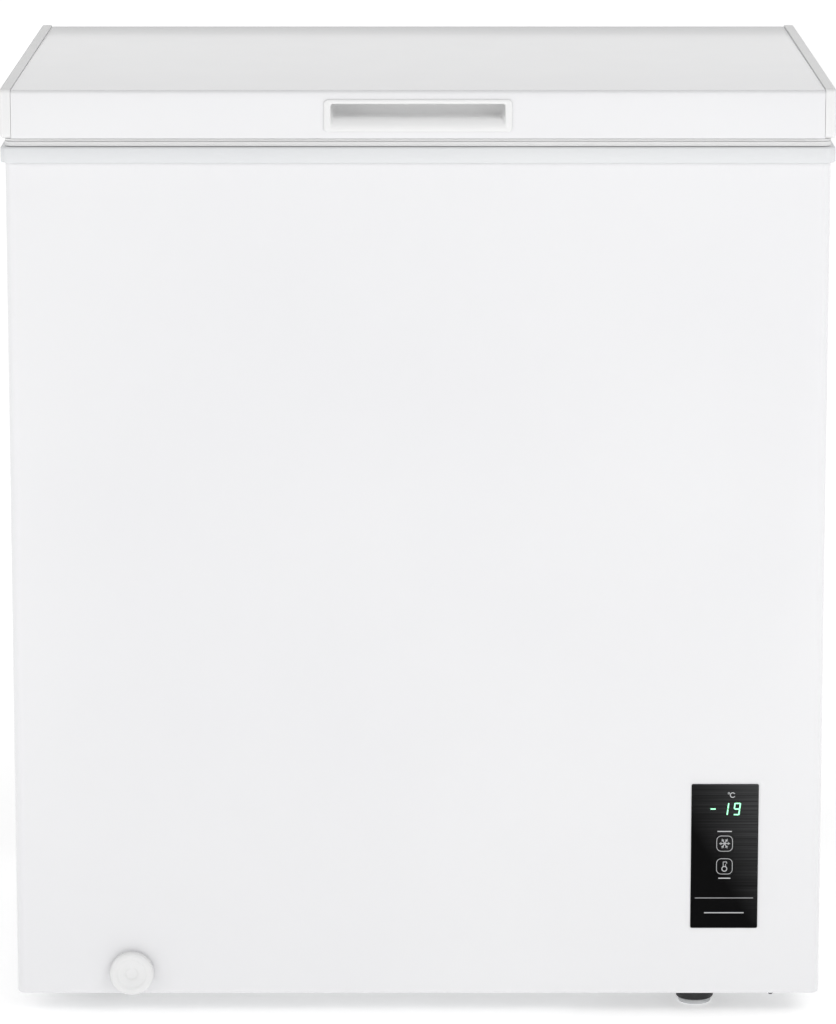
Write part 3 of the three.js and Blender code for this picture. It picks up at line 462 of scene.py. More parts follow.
def block(name, low, high):
    select_only(None)
    low, high = Vector(low), Vector(high)
    bpy.ops.mesh.primitive_cube_add(size=1, location=(low + high) / 2)
    obj = bpy.context.object
    obj.name = name
    obj.scale = high - low
    return settle(obj, at=obj.location.copy())


def round_edges(obj, test, radius, segments=4):
    edit(obj)
    choose("EDGE", test)
    bpy.ops.mesh.bevel(offset=radius, segments=segments, affect="EDGES")
    bpy.ops.object.mode_set(mode="OBJECT")
    return obj


def with_modifier(obj, kind, **settings):
    modifier = obj.modifiers.new(kind.lower(), kind)
    for key, value in settings.items():
        setattr(modifier, key, value)
    select_only(obj)
    bpy.ops.object.modifier_apply(modifier=modifier.name)
    return obj


def cut_away(obj, *tools):
    for tool in tools:
        with_modifier(obj, "BOOLEAN", object=tool, operation="DIFFERENCE", solver="EXACT")
        bpy.data.objects.remove(tool)
    return obj


def joined(name, pieces):
    select_only(pieces[0])
    for other in pieces[1:]:
        other.select_set(True)
    bpy.ops.object.join()
    bpy.context.object.name = name
    return bpy.context.object


# %% Rounded rectangles and lofts
def rectangle_loop(x0, x1, y0, y1, radius, z, steps):
    select_only(None)
    bpy.ops.mesh.primitive_plane_add(size=1, location=((x0 + x1) / 2, (y0 + y1) / 2, z))
    loop = bpy.context.object
    loop.scale = (x1 - x0, y1 - y0, 1)
    bpy.ops.object.transform_apply(location=True, rotation=True, scale=True)
    bpy.ops.object.mode_set(mode="EDIT")
    bpy.ops.mesh.select_all(action="SELECT")
    bpy.ops.mesh.bevel(offset=radius, segments=steps, affect="VERTICES")
    bpy.ops.mesh.delete(type="ONLY_FACE")
    bpy.ops.object.mode_set(mode="OBJECT")
    return loop


def loft(name, loops, ends="capped", steps=6):
    """A skin through rounded rectangles (x0, x1, y0, y1, radius, z), "capped" or closed to a "ring"."""
    last = len(loops) - 1
    pairs = [(i, i + 1) for i in range(last)] + ([(last, 0)] if ends == "ring" else [])
    bands = []
    for pair in pairs:
        bands.append(joined("band", [rectangle_loop(*loops[index], steps) for index in pair]))
        edit(bands[-1])
        bpy.ops.mesh.select_all(action="SELECT")
        bpy.ops.mesh.bridge_edge_loops()
        bpy.ops.object.mode_set(mode="OBJECT")
    for index in (0, last) if ends == "capped" else ():
        bands.append(rectangle_loop(*loops[index], steps))
        edit(bands[-1])
        bpy.ops.mesh.select_all(action="SELECT")
        bpy.ops.mesh.edge_face_add()
        bpy.ops.object.mode_set(mode="OBJECT")
    obj = joined(name, bands)
    edit(obj)
    tidy_surface()
    return obj


# %% Turned pieces and bent wires
def path_object(name, points):
    """A chain of edges through the points, made by extruding one vertex. It is left in edit mode."""
    select_only(None)
    bpy.ops.mesh.primitive_plane_add(size=MM, location=(0, 0, 0))
    obj = bpy.context.object
    obj.name = name
    bpy.ops.object.mode_set(mode="EDIT")
    bpy.ops.mesh.select_all(action="SELECT")
    bpy.ops.mesh.merge(type="CENTER")
    bpy.ops.transform.translate(value=points[0])
    for start, end in zip(points, points[1:]):
        step = tuple(Vector(end) - Vector(start))
        bpy.ops.mesh.extrude_vertices_move(TRANSFORM_OT_translate={"value": step})
    return obj


def turned(name, profile, steps=48, facing="up", at=(0, 0, 0)):
    """A profile of (radius, height) in millimetres, spun round the upright axis and set to face a side."""
    obj = path_object(name, [mm(radius, 0.0, height) for radius, height in profile])
    bpy.ops.mesh.select_all(action="SELECT")
    bpy.ops.mesh.spin(steps=steps, angle=2 * math.pi, center=(0, 0, 0), axis=(0, 0, 1))
    tidy_surface()
    return settle(obj, facing, at)


def thickened(obj, radius, sides=3):
    """Turns a chain of edges into a round wire."""
    select_only(obj)
    bpy.ops.object.convert(target="CURVE")
    obj = bpy.context.object
    obj.data.bevel_depth = radius
    obj.data.bevel_resolution = sides
    obj.data.use_fill_caps = True
    bpy.ops.object.convert(target="MESH")
    edit(bpy.context.object)
    tidy_surface()
    return bpy.context.object


def wire(name, points, radius, bend=0.0, steps=4):
    obj = path_object(name, points)
    if bend:
        choose("VERT", lambda v: len(v.link_edges) == 2)
        bpy.ops.mesh.bevel(offset=bend, segments=steps, affect="VERTICES")
    return thickened(obj, radius)


# %% Finishing a piece
def complete(obj, body, material, stands_for=(), angle=35.0):
    """Smooths the piece, gives it its finish, and makes it ride on its body in place of CAD nodes."""
    select_only(obj)
    bpy.ops.object.shade_smooth_by_angle(angle=math.radians(angle))
    obj.data.materials.clear()
    obj.data.materials.append(material)
    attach(obj, body)
    if stands_for:
        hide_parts(*stands_for)
    return obj


def softened(node, body, material, width, segments=2):
    """A merged copy of a CAD node with its sharp edges rounded. It stands for the node."""
    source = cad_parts[node]
    obj = source.copy()
    obj.data = source.data.copy()
    obj.name = node + "_piece"
    obj.parent = None
    obj.matrix_world = source.matrix_world.copy()
    for key in list(obj.keys()):
        del obj[key]
    scene.collection.objects.link(obj)
    edit(obj)
    bpy.ops.mesh.select_all(action="SELECT")
    bpy.ops.mesh.remove_doubles(threshold=MERGE)
    bpy.ops.mesh.dissolve_limited(angle_limit=math.radians(1.0))
    bpy.ops.object.mode_set(mode="OBJECT")
    rounding = {"width": width, "segments": segments, "use_clamp_overlap": True}
    with_modifier(obj, "BEVEL", limit_method="ANGLE", angle_limit=math.radians(32), **rounding)
    return complete(obj, body, material, [node])


# %% [markdown]
# ## Cabinet
# The cabinet's skin is one folded sheet round the front and both sides. Seen from above it is a rounded
# rectangle, so it is a loft through rounded rectangles: up the outside and down the inside, with a narrow
# hem turned under at the foot. The back is then cut off, and the openings are cut through.


# %% Cabinet skin
def inset_loop(box, inset, radius, z):
    """A rounded rectangle inside box = (x0, x1, y0, y1), in metres."""
    x0, x1, y0, y1 = box
    return (x0 + inset, x1 - inset, y0 + inset, y1 - inset, radius, z)


def ring_of(name, box, profile, steps=6):
    """A closed hoop with the given section: profile is (inset, corner radius, z) in millimetres."""
    return loft(name, [inset_loop(box, *mm(*point)) for point in profile], "ring", steps)


CORNER = 8.0
PAST_BACK = 50 * MM  # the loft runs on behind, so that its rear corners are cut off with its back
HEM_Z = skin_low[2] / MM
SKIN_TOP = skin_high[2] / MM
skin_box = (skin_low[0], skin_high[0], BODY_FRONT, skin_high[1] + PAST_BACK)
skin_profile = [
    (0.0, CORNER, SKIN_TOP),
    (0.0, CORNER, HEM_Z + 2.4),
    (0.35, CORNER - 0.35, HEM_Z + 1.1),
    (1.1, CORNER - 1.1, HEM_Z + 0.35),
    (2.4, CORNER - 2.4, HEM_Z),
    (12.0, 1.5, HEM_Z),
    (12.0, 1.5, HEM_Z + 1.0),
    (2.6, CORNER - 2.6, HEM_Z + 1.0),
    (1.3, CORNER - 1.3, HEM_Z + 1.7),
    (1.0, CORNER - 1.0, HEM_Z + 2.8),
    (1.0, CORNER - 1.0, SKIN_TOP),
]
skin = ring_of("cabinet_skin", skin_box, skin_profile, steps=8)

fascia_low, fascia_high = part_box("control_fascia")
grille_low, grille_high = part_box("side_vent_grille")
sleeve_low, sleeve_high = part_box("drain_sleeve")
dial_low, dial_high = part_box("drain_dial")
DIAL_X, _, DIAL_Z = middle(dial_low, dial_high)
PANEL_EDGE = 0.8 * MM
GRILLE_EDGE = 4.0 * MM
back_tool = block("back_tool", (-1, skin_high[1], -1), (1, 1, 1))
panel_tool = block(
    "panel_tool",
    (fascia_low[0] + PANEL_EDGE, BODY_FRONT - CUT, fascia_low[2] + PANEL_EDGE),
    (fascia_high[0] - PANEL_EDGE, BODY_FRONT + CUT, fascia_high[2] - PANEL_EDGE),
)
vent_tool = block(
    "vent_tool",
    (skin_high[0] - CUT, grille_low[1] + GRILLE_EDGE, grille_low[2] + GRILLE_EDGE),
    (skin_high[0] + CUT, grille_high[1] - GRILLE_EDGE, grille_high[2] - GRILLE_EDGE),
)


def rod(name, radius, half_length, steps, facing, at):
    """A plain round rod for cutting a hole, with its middle at the given place."""
    profile = [(0, -half_length), (radius, -half_length), (radius, half_length), (0, half_length)]
    return turned(name, profile, steps, facing, at)


DRAIN_HOLE = 13.3
drain_tool = rod("drain_tool", DRAIN_HOLE, 10, 40, "front", (DIAL_X, BODY_FRONT, DIAL_Z))
cut_away(skin, back_tool, panel_tool, vent_tool, drain_tool)
complete(skin, "cabinet", white_paint, ["cabinet_wrapper"])
print("cabinet skin:", len(skin.data.polygons), "faces")

# %% [markdown]
# ## Rim
# A moulded frame caps the foamed walls. It has a short skirt outside, a flat top that the gasket presses
# on, and a ledge just below where the basket's hooks lie. Every edge of the moulding is a small round.

# %% Rim
rim_box = (rim_low[0], rim_high[0], rim_low[1], rim_high[1])
LEDGE = RIM_TOP - 14.0
rim_profile = [
    (0.0, 10.0, LEDGE + 0.9), (0.0, 10.0, RIM_TOP - 1.6), (0.35, 9.7, RIM_TOP - 0.7),
    (1.0, 9.0, RIM_TOP - 0.2),
    (1.9, 8.2, RIM_TOP), (54.2, 35.8, RIM_TOP), (55.2, 34.8, RIM_TOP - 0.2), (55.8, 34.2, RIM_TOP - 0.8),
    (56.0, 34.0, RIM_TOP - 1.8), (56.0, 34.0, LEDGE + 1.8), (56.3, 33.7, LEDGE + 0.7),
    (57.0, 33.0, LEDGE + 0.2),
    (58.0, 32.0, LEDGE), (64.6, 25.4, LEDGE), (65.5, 24.5, LEDGE - 0.2), (66.0, 24.0, LEDGE - 0.8),
    (66.0, 24.0, LEDGE - 1.4), (65.4, 24.6, LEDGE - 2.0), (54.0, 36.0, LEDGE - 2.0),
    (54.0, 36.0, RIM_TOP - 4.0),
    (3.7, 6.3, RIM_TOP - 4.0), (3.7, 6.3, LEDGE + 0.6), (3.2, 6.8, LEDGE), (0.9, 9.1, LEDGE),
    (0.25, 9.75, LEDGE + 0.3),
]
rim = ring_of("rim_moulding", rim_box, rim_profile, steps=10)
complete(rim, "cabinet", rim_plastic, ["top_rim"])
print("rim:", len(rim.data.polygons), "faces")

# %% [markdown]
# ## Lid
# The lid's sheet comes down at the front and at the back over two rolled edges. It is a block with two
# edges rounded, opened below and at both ends, and thickened inwards to one millimetre.

# %% Lid sheet
ROLL = 4.0 * MM
sheet_block = block("lid_sheet", lid_low, lid_high)


def top_long_edge(edge):
    a, b = edge.verts
    on_top = all(abs(v.co.z - lid_high[2]) < CLOSE for v in edge.verts)
    return on_top and abs(a.co.y - b.co.y) < CLOSE


round_edges(sheet_block, top_long_edge, ROLL, 8)
edit(sheet_block)
choose("FACE", lambda f: abs(f.normal.x) > 0.9 or f.normal.z < -0.9)
bpy.ops.mesh.delete(type="FACE")
bpy.ops.object.mode_set(mode="OBJECT")
with_modifier(sheet_block, "SOLIDIFY", thickness=SHEET, offset=-1)
grip_low, grip_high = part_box("lid_handle_insert")
GRIP_FLANGE = 3.4 * MM
GRIP_LAP = 1.2 * MM
grip_tool = block(
    "grip_tool",
    (grip_low[0] + GRIP_FLANGE, LID_FRONT - CUT, grip_low[2] + GRIP_LAP),
    (grip_high[0] - GRIP_FLANGE, LID_FRONT + CUT, grip_high[2] - GRIP_LAP),
)
cut_away(sheet_block, grip_tool)
complete(sheet_block, "lid", white_paint, ["lid_outer_shell"])

# %% [markdown]
# ### End caps
# Moulded caps close both ends of the lid. Their outer edges are rounded, and they stand a little above the
# sheet.

# %% End caps
CAP_CORNER = 4.5 * MM
CAP_ROUND = 3.0 * MM


def end_cap(name, low, high, outer_x):
    cap = block(name, low, high)
    round_edges(cap, lambda e: abs(e.verts[0].co.x - e.verts[1].co.x) > CAP_CORNER, CAP_CORNER, 6)
    round_edges(cap, lambda e: all(abs(v.co.x - outer_x) < CLOSE for v in e.verts), CAP_ROUND, 6)
    return cap


for side, outer in (("left", -1), ("right", 1)):
    low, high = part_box(f"lid_end_cap_{side}")
    cap = end_cap(f"end_cap_{side}", low, high, outer * HALF)
    complete(cap, "lid", white_plastic, [f"lid_end_cap_{side}"])

# %% [markdown]
# ### Grip
# The grip is one moulding: a flat bezel, a floor that swells up in a smooth hump just behind it, and a deep
# pocket beyond for the fingers. It is a chain of rounded rectangles, out round the bezel and then into the
# pocket.

# %% Grip
GRIP_X = grip_high[0] / MM
GRIP_LOW, GRIP_HIGH = grip_low[2] / MM, grip_high[2] / MM
# depth behind the lid's face, half width, bottom and top of the opening, corner radius, all in millimetres
grip_path = [
    (25.5, GRIP_X - 5.0, GRIP_LOW + 2.6, GRIP_HIGH - 2.6, 4.0),
    (24.0, GRIP_X - 3.8, GRIP_LOW + 1.5, GRIP_HIGH - 1.5, 3.0),
    (-0.3, GRIP_X - 3.8, GRIP_LOW + 1.5, GRIP_HIGH - 1.5, 3.0),
    (-0.3, GRIP_X, GRIP_LOW, GRIP_HIGH, 3.6),
    (-0.9, GRIP_X, GRIP_LOW, GRIP_HIGH, 3.6),
    (-1.3, GRIP_X - 0.2, GRIP_LOW + 0.2, GRIP_HIGH - 0.2, 3.4),
    (-1.5, GRIP_X - 0.7, GRIP_LOW + 0.7, GRIP_HIGH - 0.7, 3.0),
    (-1.5, GRIP_X - 5.0, GRIP_LOW + 3.2, GRIP_HIGH - 3.0, 2.2),
    (-1.3, GRIP_X - 5.6, GRIP_LOW + 4.4, GRIP_HIGH - 3.5, 2.0),
    (-0.7, GRIP_X - 6.0, GRIP_LOW + 6.0, GRIP_HIGH - 3.8, 2.0),
    (0.6, GRIP_X - 6.1, GRIP_LOW + 8.0, GRIP_HIGH - 3.8, 2.2),
    (2.4, GRIP_X - 6.1, GRIP_LOW + 10.0, GRIP_HIGH - 3.7, 2.6),
    (4.6, GRIP_X - 6.2, GRIP_LOW + 11.5, GRIP_HIGH - 3.6, 3.2),
    (7.0, GRIP_X - 6.3, GRIP_LOW + 12.2, GRIP_HIGH - 3.4, 3.8),
    (10.0, GRIP_X - 6.4, GRIP_LOW + 12.4, GRIP_HIGH - 3.3, 4.4),
    (15.0, GRIP_X - 6.8, GRIP_LOW + 12.6, GRIP_HIGH - 3.0, 4.8),
    (19.0, GRIP_X - 7.6, GRIP_LOW + 13.0, GRIP_HIGH - 3.0, 4.9),
    (21.6, GRIP_X - 9.0, GRIP_LOW + 13.6, GRIP_HIGH - 3.4, 4.6),
    (23.2, GRIP_X - 11.0, GRIP_LOW + 14.6, GRIP_HIGH - 4.2, 4.4),
    (23.9, GRIP_X - 14.0, GRIP_LOW + 17.2, GRIP_HIGH - 5.8, 2.4),
]
grip_loops = [mm(-half, half, low, high, radius, depth) for depth, half, low, high, radius in grip_path]
grip = loft("grip_pocket", grip_loops, "capped", steps=6)
settle(grip, "back", (0, LID_FRONT, 0))
complete(grip, "lid", white_plastic, ["lid_handle_insert"], angle=50)

# %% [markdown]
# ### Gasket and inside of the lid
# The gasket is a soft pale hoop. Its outer lip reaches nearly to the edge of the lid and has a groove along
# it. The inside of the lid is a white pan with a shallow rounded dish.

# %% Gasket and lid pan
seal_low, seal_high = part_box("lid_gasket")
seal_box = (seal_low[0], seal_high[0], seal_low[1], seal_high[1])
S0, S1 = seal_low[2] / MM, seal_high[2] / MM
seal_profile = [
    (-12.8, 8.2, S0 + 0.3), (-13.2, 8.6, S0 + 1.1), (-13.2, 8.6, S0 + 2.0), (-12.9, 8.4, S0 + 2.4),
    (-13.2, 8.6, S0 + 2.8), (-13.2, 8.6, S1 - 3.6), (-12.8, 8.2, S1 - 3.1),
    (-11.4, 7.4, S1 - 2.9), (-11.4, 7.4, S1 - 2.5),
    (-12.8, 8.2, S1 - 2.3), (-13.2, 8.6, S1 - 1.8), (-13.2, 8.6, S1 - 0.8), (-12.6, 8.2, S1 - 0.3),
    (-9.0, 6.4, S1), (15.0, 2.0, S1), (15.8, 1.8, S1 - 0.6), (16.0, 1.6, S1 - 2.0), (14.6, 2.0, S0 + 3.6),
    (16.0, 1.6, S0 + 1.8), (15.4, 1.8, S0 + 0.4), (14.2, 2.0, S0), (9.0, 2.2, S0),
    (8.0, 2.4, S0 + 0.7), (7.0, 2.6, S0), (1.6, 2.8, S0),
]
gasket = ring_of("gasket_hoop", seal_box, seal_profile, steps=6)
complete(gasket, "lid", gasket_vinyl, ["lid_gasket"])

pan_low, pan_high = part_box("lid_inner_liner")
pan_box = (pan_low[0], pan_high[0], pan_low[1], pan_high[1])
DISH_STEP = 8.9 * MM  # the dish starts this much further in at the front and the back
DISH_START = 50.0  # levels with a larger inset than this belong to the dish
dish_box = (pan_low[0], pan_high[0], pan_low[1] + DISH_STEP, pan_high[1] - DISH_STEP)
P0, P1 = pan_low[2] / MM, pan_high[2] / MM
pan_path = [
    (62.0, 10.0, P1), (59.6, 12.0, P1 - 0.6), (58.4, 13.4, P1 - 3.0), (58.2, 13.5, P0 + 3.0),
    (57.0, 14.5, P0 + 1.5), (0.4, 2.0, P0 + 1.5), (0.0, 2.4, P0 + 1.1), (0.0, 2.4, P0 + 0.4),
    (0.4, 2.0, P0),
    (57.4, 14.0, P0), (59.0, 13.0, P0 + 0.5), (59.7, 12.3, P0 + 2.0), (60.0, 12.0, P0 + 5.5),
    (61.2, 11.0, P1 - 2.0), (64.0, 9.0, P1 - 1.5),
]
pan_loops = [inset_loop(dish_box if point[0] > DISH_START else pan_box, *mm(*point)) for point in pan_path]
pan = loft("lid_pan", pan_loops, "capped", steps=8)
complete(pan, "lid", white_plastic, ["lid_inner_liner"])
print("lid: sheet, two caps, grip, gasket and pan")

# %% [markdown]
# ## Control panel
# The fascia is a thin plate with small rounds. Two square keys fill holes in it. The lit digits, the
# printed lines and the key marks are very thin shapes that stand a tenth of a millimetre above the gloss.

# %% Fascia and keys
PANEL_FACE = fascia_low[1]
PRINT = 0.1  # the marks stand this far out, and go as far in
KEY_CORNER = 2.5
fascia = block("fascia_plate", fascia_low, fascia_high)
round_edges(fascia, lambda e: abs(e.verts[0].co.y - e.verts[1].co.y) > SHEET, 1.4 * MM, 4)
round_edges(fascia, lambda e: all(abs(v.co.y - PANEL_FACE) < CLOSE for v in e.verts), 0.5 * MM, 3)


def key_shape(name, low, high, grow, path):
    """A rounded square seen from the front. path is (height above the panel's face, inset) in millimetres."""
    loops = []
    for height, inset in path:
        step = inset * MM - grow
        radius = max(KEY_CORNER * MM - step, 0.4 * MM)
        loops.append((low[0] + step, high[0] - step, low[2] + step, high[2] - step, radius, height * MM))
    return settle(loft(name, loops, "capped", 5), "front", (0, PANEL_FACE, 0))


KEY_GAP = 0.3 * MM
STEM_RADIUS = 2.5
for name in ("super_key", "temp_key"):
    low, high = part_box(name)
    cut_away(fascia, key_shape(name + "_tool", low, high, KEY_GAP, [(-8, 0), (5, 0)]))
    cap = key_shape(name + "_cap", low, high, 0.0, [(-3.5, 0), (-0.35, 0), (-0.1, 0.12), (0.0, 0.45)])
    stem_end = (high[1] - PANEL_FACE) / MM
    stem_profile = [
        (0, -3.3), (STEM_RADIUS, -3.3), (STEM_RADIUS, 0.4 - stem_end),
        (STEM_RADIUS - 0.4, -stem_end), (0, -stem_end),
    ]
    x, _, z = middle(low, high)
    stem = turned(name + "_stem", stem_profile, 24, "front", (x, PANEL_FACE, z))
    complete(joined(name + "_piece", [cap, stem]), name, panel_black, [name])
complete(fascia, "cabinet", panel_black, ["control_fascia"])

# %% [markdown]
# ### Lit and printed marks
# The display shows a temperature in slanted seven-segment digits. Words are left out: a short plain bar
# stands where each caption would be.


# %% Marks on the panel
def mark(x, z, width, height, angle=0.0):
    """A thin bar on the panel's face, centred at (x, z) in millimetres and turned by an angle in degrees."""
    obj = block("mark", mm(-width / 2, -PRINT, -height / 2), mm(width / 2, PRINT, height / 2))
    select_only(obj)
    obj.rotation_euler = (0.0, math.radians(angle), 0.0)
    obj.location = (x * MM, PANEL_FACE, z * MM)
    bpy.ops.object.transform_apply(location=True, rotation=True, scale=True)
    return obj


def hoop_mark(x, z, outer, inner, gap=None):
    """A thin ring on the panel's face. gap cuts its right side away, which makes a letter C."""
    profile = [(inner, -PRINT), (outer, -PRINT), (outer, PRINT), (inner, PRINT), (inner, -PRINT)]
    obj = turned("hoop", profile, 32, "front", (x * MM, PANEL_FACE, z * MM))
    if gap:
        low = (x * MM, PANEL_FACE - SHEET, (z - gap) * MM)
        high = ((x + 3 * outer) * MM, PANEL_FACE + SHEET, (z + gap) * MM)
        cut_away(obj, block("gap", low, high))
    return obj


SLANT = 7.0
DIGIT_LOW = 188.4
DIGIT_HIGH = 200.0
STROKE = 1.15
DIGIT_WIDTH = 6.0
SEGMENT_GAP = 0.7
SEGMENTS = {"1": "bc", "9": "abcdfg"}


def digit(text, x):
    """A seven-segment digit whose lower left corner is at x."""
    half_way = (DIGIT_LOW + DIGIT_HIGH) / 2
    lean = math.tan(math.radians(SLANT))
    quarter = (DIGIT_HIGH - DIGIT_LOW) / 4
    across = {"a": DIGIT_HIGH - STROKE / 2, "g": half_way, "d": DIGIT_LOW + STROKE / 2}
    upper, lower = half_way + quarter, half_way - quarter
    upright = {"f": (0, upper), "b": (1, upper), "e": (0, lower), "c": (1, lower)}
    bars = []
    for segment in SEGMENTS[text]:
        if segment in across:
            z = across[segment]
            place = x + DIGIT_WIDTH / 2 + (z - DIGIT_LOW) * lean
            bars.append(mark(place, z, DIGIT_WIDTH - 2 * STROKE + SEGMENT_GAP, STROKE))
        else:
            side, z = upright[segment]
            place = x + STROKE / 2 + side * (DIGIT_WIDTH - STROKE) + (z - DIGIT_LOW) * lean
            bars.append(mark(place, z, STROKE, 2 * quarter - SEGMENT_GAP, SLANT))
    return bars


digits = [mark(267.7, 194.2, 4.6, 1.1)] + digit("1", 275.0) + digit("9", 285.6)
complete(joined("lit_digits", digits), "cabinet", lit_green)
unit = [hoop_mark(281.9, 208.9, 0.95, 0.5), hoop_mark(285.3, 207.2, 2.5, 1.8, gap=1.1)]
lines = [mark(278.5, 110.7, 53.0, 0.45), mark(278.5, 96.8, 36.0, 0.9)]
captions = [mark(278.4, 173.2, 13.0, 0.9), mark(278.6, 129.3, 11.0, 0.9)]
complete(joined("panel_print", unit + lines + captions), "cabinet", print_grey)


def key_outline(name):
    low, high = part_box(name)
    box = (low[0], high[0], low[2], high[2])
    profile = [(0.3, 4.4, PRINT), (0.3, 4.4, -PRINT), (0.78, 3.9, -PRINT), (0.78, 3.9, PRINT)]
    return settle(ring_of(name + "_outline", box, profile, 5), "front", (0, PANEL_FACE, 0))


BARB_ANGLE, BARB_START, BARB_OUT = 50, 0.55, 0.75


def snowflake(x, z, reach):
    """Three bars through the middle, and two short barbs near each of their six ends."""
    bars = [mark(x, z, reach * 2, 0.65, angle) for angle in (0, 60, 120)]
    for turn in range(0, 360, 60):
        for side in (-1, 1):
            arm = math.radians(turn)
            barb = math.radians(turn + side * BARB_ANGLE)
            barb_x = x + math.cos(arm) * reach * BARB_START + math.cos(barb) * BARB_OUT
            barb_z = z + math.sin(arm) * reach * BARB_START + math.sin(barb) * BARB_OUT
            bars.append(mark(barb_x, barb_z, 1.7, 0.5, -(turn + side * BARB_ANGLE)))
    return bars


def thermometer(x, z):
    """A ring for the bulb, two lines for the stem and a short hook over its top."""
    bulb = hoop_mark(x, z - 2.3, 2.6, 1.9)
    stem = [mark(x - 1.1, z + 1.9, 0.5, 4.2), mark(x + 1.1, z + 1.0, 0.5, 2.4)]
    hook = [mark(x + 0.5, z + 4.2, 3.6, 0.5), mark(x + 2.1, z + 3.3, 0.5, 1.4)]
    return [bulb] + stem + hook


super_low, super_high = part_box("super_key")
temp_low, temp_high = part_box("temp_key")
KEY_X = middle(super_low, super_high)[0] / MM
SUPER_Z = middle(super_low, super_high)[2] / MM
TEMP_Z = middle(temp_low, temp_high)[2] / MM
flake = joined("super_key_print", [key_outline("super_key")] + snowflake(KEY_X, SUPER_Z, 4.9))
complete(flake, "super_key", print_grey)
gauge = joined("temp_key_print", [key_outline("temp_key")] + thermometer(KEY_X, TEMP_Z))
complete(gauge, "temp_key", print_grey)
print("panel: fascia, two keys, digits and marks")

# %% [markdown]
# ## Drain
# A round dial with a stepped face and a shallow dimple covers the drain at the lower left. It turns on the
# neck of a sleeve, which slides out of its tube and lets water out through a slot in its underside.

# %% Drain dial, sleeve and plug
DIAL_R = (dial_high[0] - dial_low[0]) / 2 / MM
DIAL_H = (dial_high[1] - dial_low[1]) / MM
NECK = 7.5
dial_profile = [
    (0, DIAL_H - 1.9), (4.4, DIAL_H - 1.9), (5.3, DIAL_H - 1.7), (5.9, DIAL_H - 1.0), (6.5, DIAL_H - 0.7),
    (12.2, DIAL_H - 0.7), (13.0, DIAL_H - 0.6), (13.5, DIAL_H - 0.2), (14.1, DIAL_H), (17.0, DIAL_H),
    (18.4, DIAL_H - 0.3), (19.4, DIAL_H - 1.1), (DIAL_R, DIAL_H - 2.4), (DIAL_R, 0.7), (DIAL_R - 0.6, 0),
    (NECK, 0), (NECK, 4.0), (0, 4.0),
]
dial = turned("dial", dial_profile, 72, "front", (DIAL_X, dial_high[1], DIAL_Z))
complete(dial, "drain_dial", white_plastic, ["drain_dial"], angle=50)

SLEEVE_R = (sleeve_high[0] - sleeve_low[0]) / 2 / MM
SLEEVE_LEN = (sleeve_high[1] - sleeve_low[1]) / MM
sleeve_profile = [
    (0, 0), (6.8, 0), (7.2, 0.4), (7.2, 4.0), (SLEEVE_R - 0.5, 4.0), (SLEEVE_R, 4.5),
    (SLEEVE_R, SLEEVE_LEN - 0.5), (SLEEVE_R - 0.4, SLEEVE_LEN), (7.8, SLEEVE_LEN),
    (7.5, SLEEVE_LEN - 0.3), (7.5, 8.0), (0, 8.0),
]
sleeve = turned("sleeve", sleeve_profile, 48, "back", (DIAL_X, sleeve_low[1], DIAL_Z))
SLOT_HALF, SLOT_START, SLOT_END = mm(5, 12, 28)
slot_tool = block(
    "slot_tool",
    (DIAL_X - SLOT_HALF, sleeve_low[1] + SLOT_START, sleeve_low[2] - SHEET),
    (DIAL_X + SLOT_HALF, sleeve_low[1] + SLOT_END, DIAL_Z),
)
cut_away(sleeve, slot_tool)
complete(sleeve, "drain_sleeve", rim_plastic, ["drain_sleeve"])

plug_low, plug_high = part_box("drain_plug")
PLUG_R = (plug_high[0] - plug_low[0]) / 2 / MM
PLUG_H = (plug_high[2] - plug_low[2]) / MM
plug_profile = [
    (0, 0), (6.6, 0), (7.0, 0.5), (7.7, PLUG_H - 4.0), (PLUG_R - 0.4, PLUG_H - 4.0), (PLUG_R, PLUG_H - 3.5),
    (PLUG_R, PLUG_H - 2.2), (PLUG_R - 0.6, PLUG_H - 1.2), (11.0, PLUG_H), (4.4, PLUG_H),
    (3.6, PLUG_H - 0.4),
    (2.8, PLUG_H - 1.4), (0, PLUG_H - 1.6),
]
plug_x, plug_y, _ = middle(plug_low, plug_high)
plug = turned("plug", plug_profile, 56, "up", (plug_x, plug_y, plug_low[2]))
complete(plug, "drain_plug", white_plastic, ["drain_plug"], angle=50)

# %% [markdown]
# ## Underside
# The cabinet stands on four round feet with pale pads. At the compressor's end, two bolts and three small
# dark clips hang from the tray and show just under the front edge.

# %% Feet, bolts and clips
for corner in ("front_right", "front_left", "rear_right", "rear_left"):
    low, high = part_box(f"foot_{corner}")
    x, y, _ = middle(low, high)
    wide, tall = (high[0] - low[0]) / 2 / MM, (high[2] - low[2]) / MM
    foot_profile = [
        (0, 0), (wide - 2.4, 0), (wide - 1.6, 0.6), (wide - 0.9, 5.0), (wide - 0.3, tall - 2.4),
        (wide, tall - 2.0), (wide, tall - 0.5), (wide - 0.5, tall), (0, tall),
    ]
    foot = turned(f"cup_{corner}", foot_profile, 56, "up", (x, y, low[2]))
    complete(foot, "cabinet", black_plastic, [f"foot_{corner}"], angle=50)
    low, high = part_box(f"foot_pad_{corner}")
    wide, tall = (high[0] - low[0]) / 2 / MM, (high[2] - low[2]) / MM
    pad_profile = [
        (0, 0), (wide - 1.6, 0), (wide - 0.5, 0.4), (wide, 1.4), (wide, tall - 0.6), (wide - 0.6, tall),
        (0, tall),
    ]
    pad = turned(f"pad_{corner}", pad_profile, 56, "up", (x, y, low[2]))
    complete(pad, "cabinet", rim_plastic, [f"foot_pad_{corner}"], angle=50)

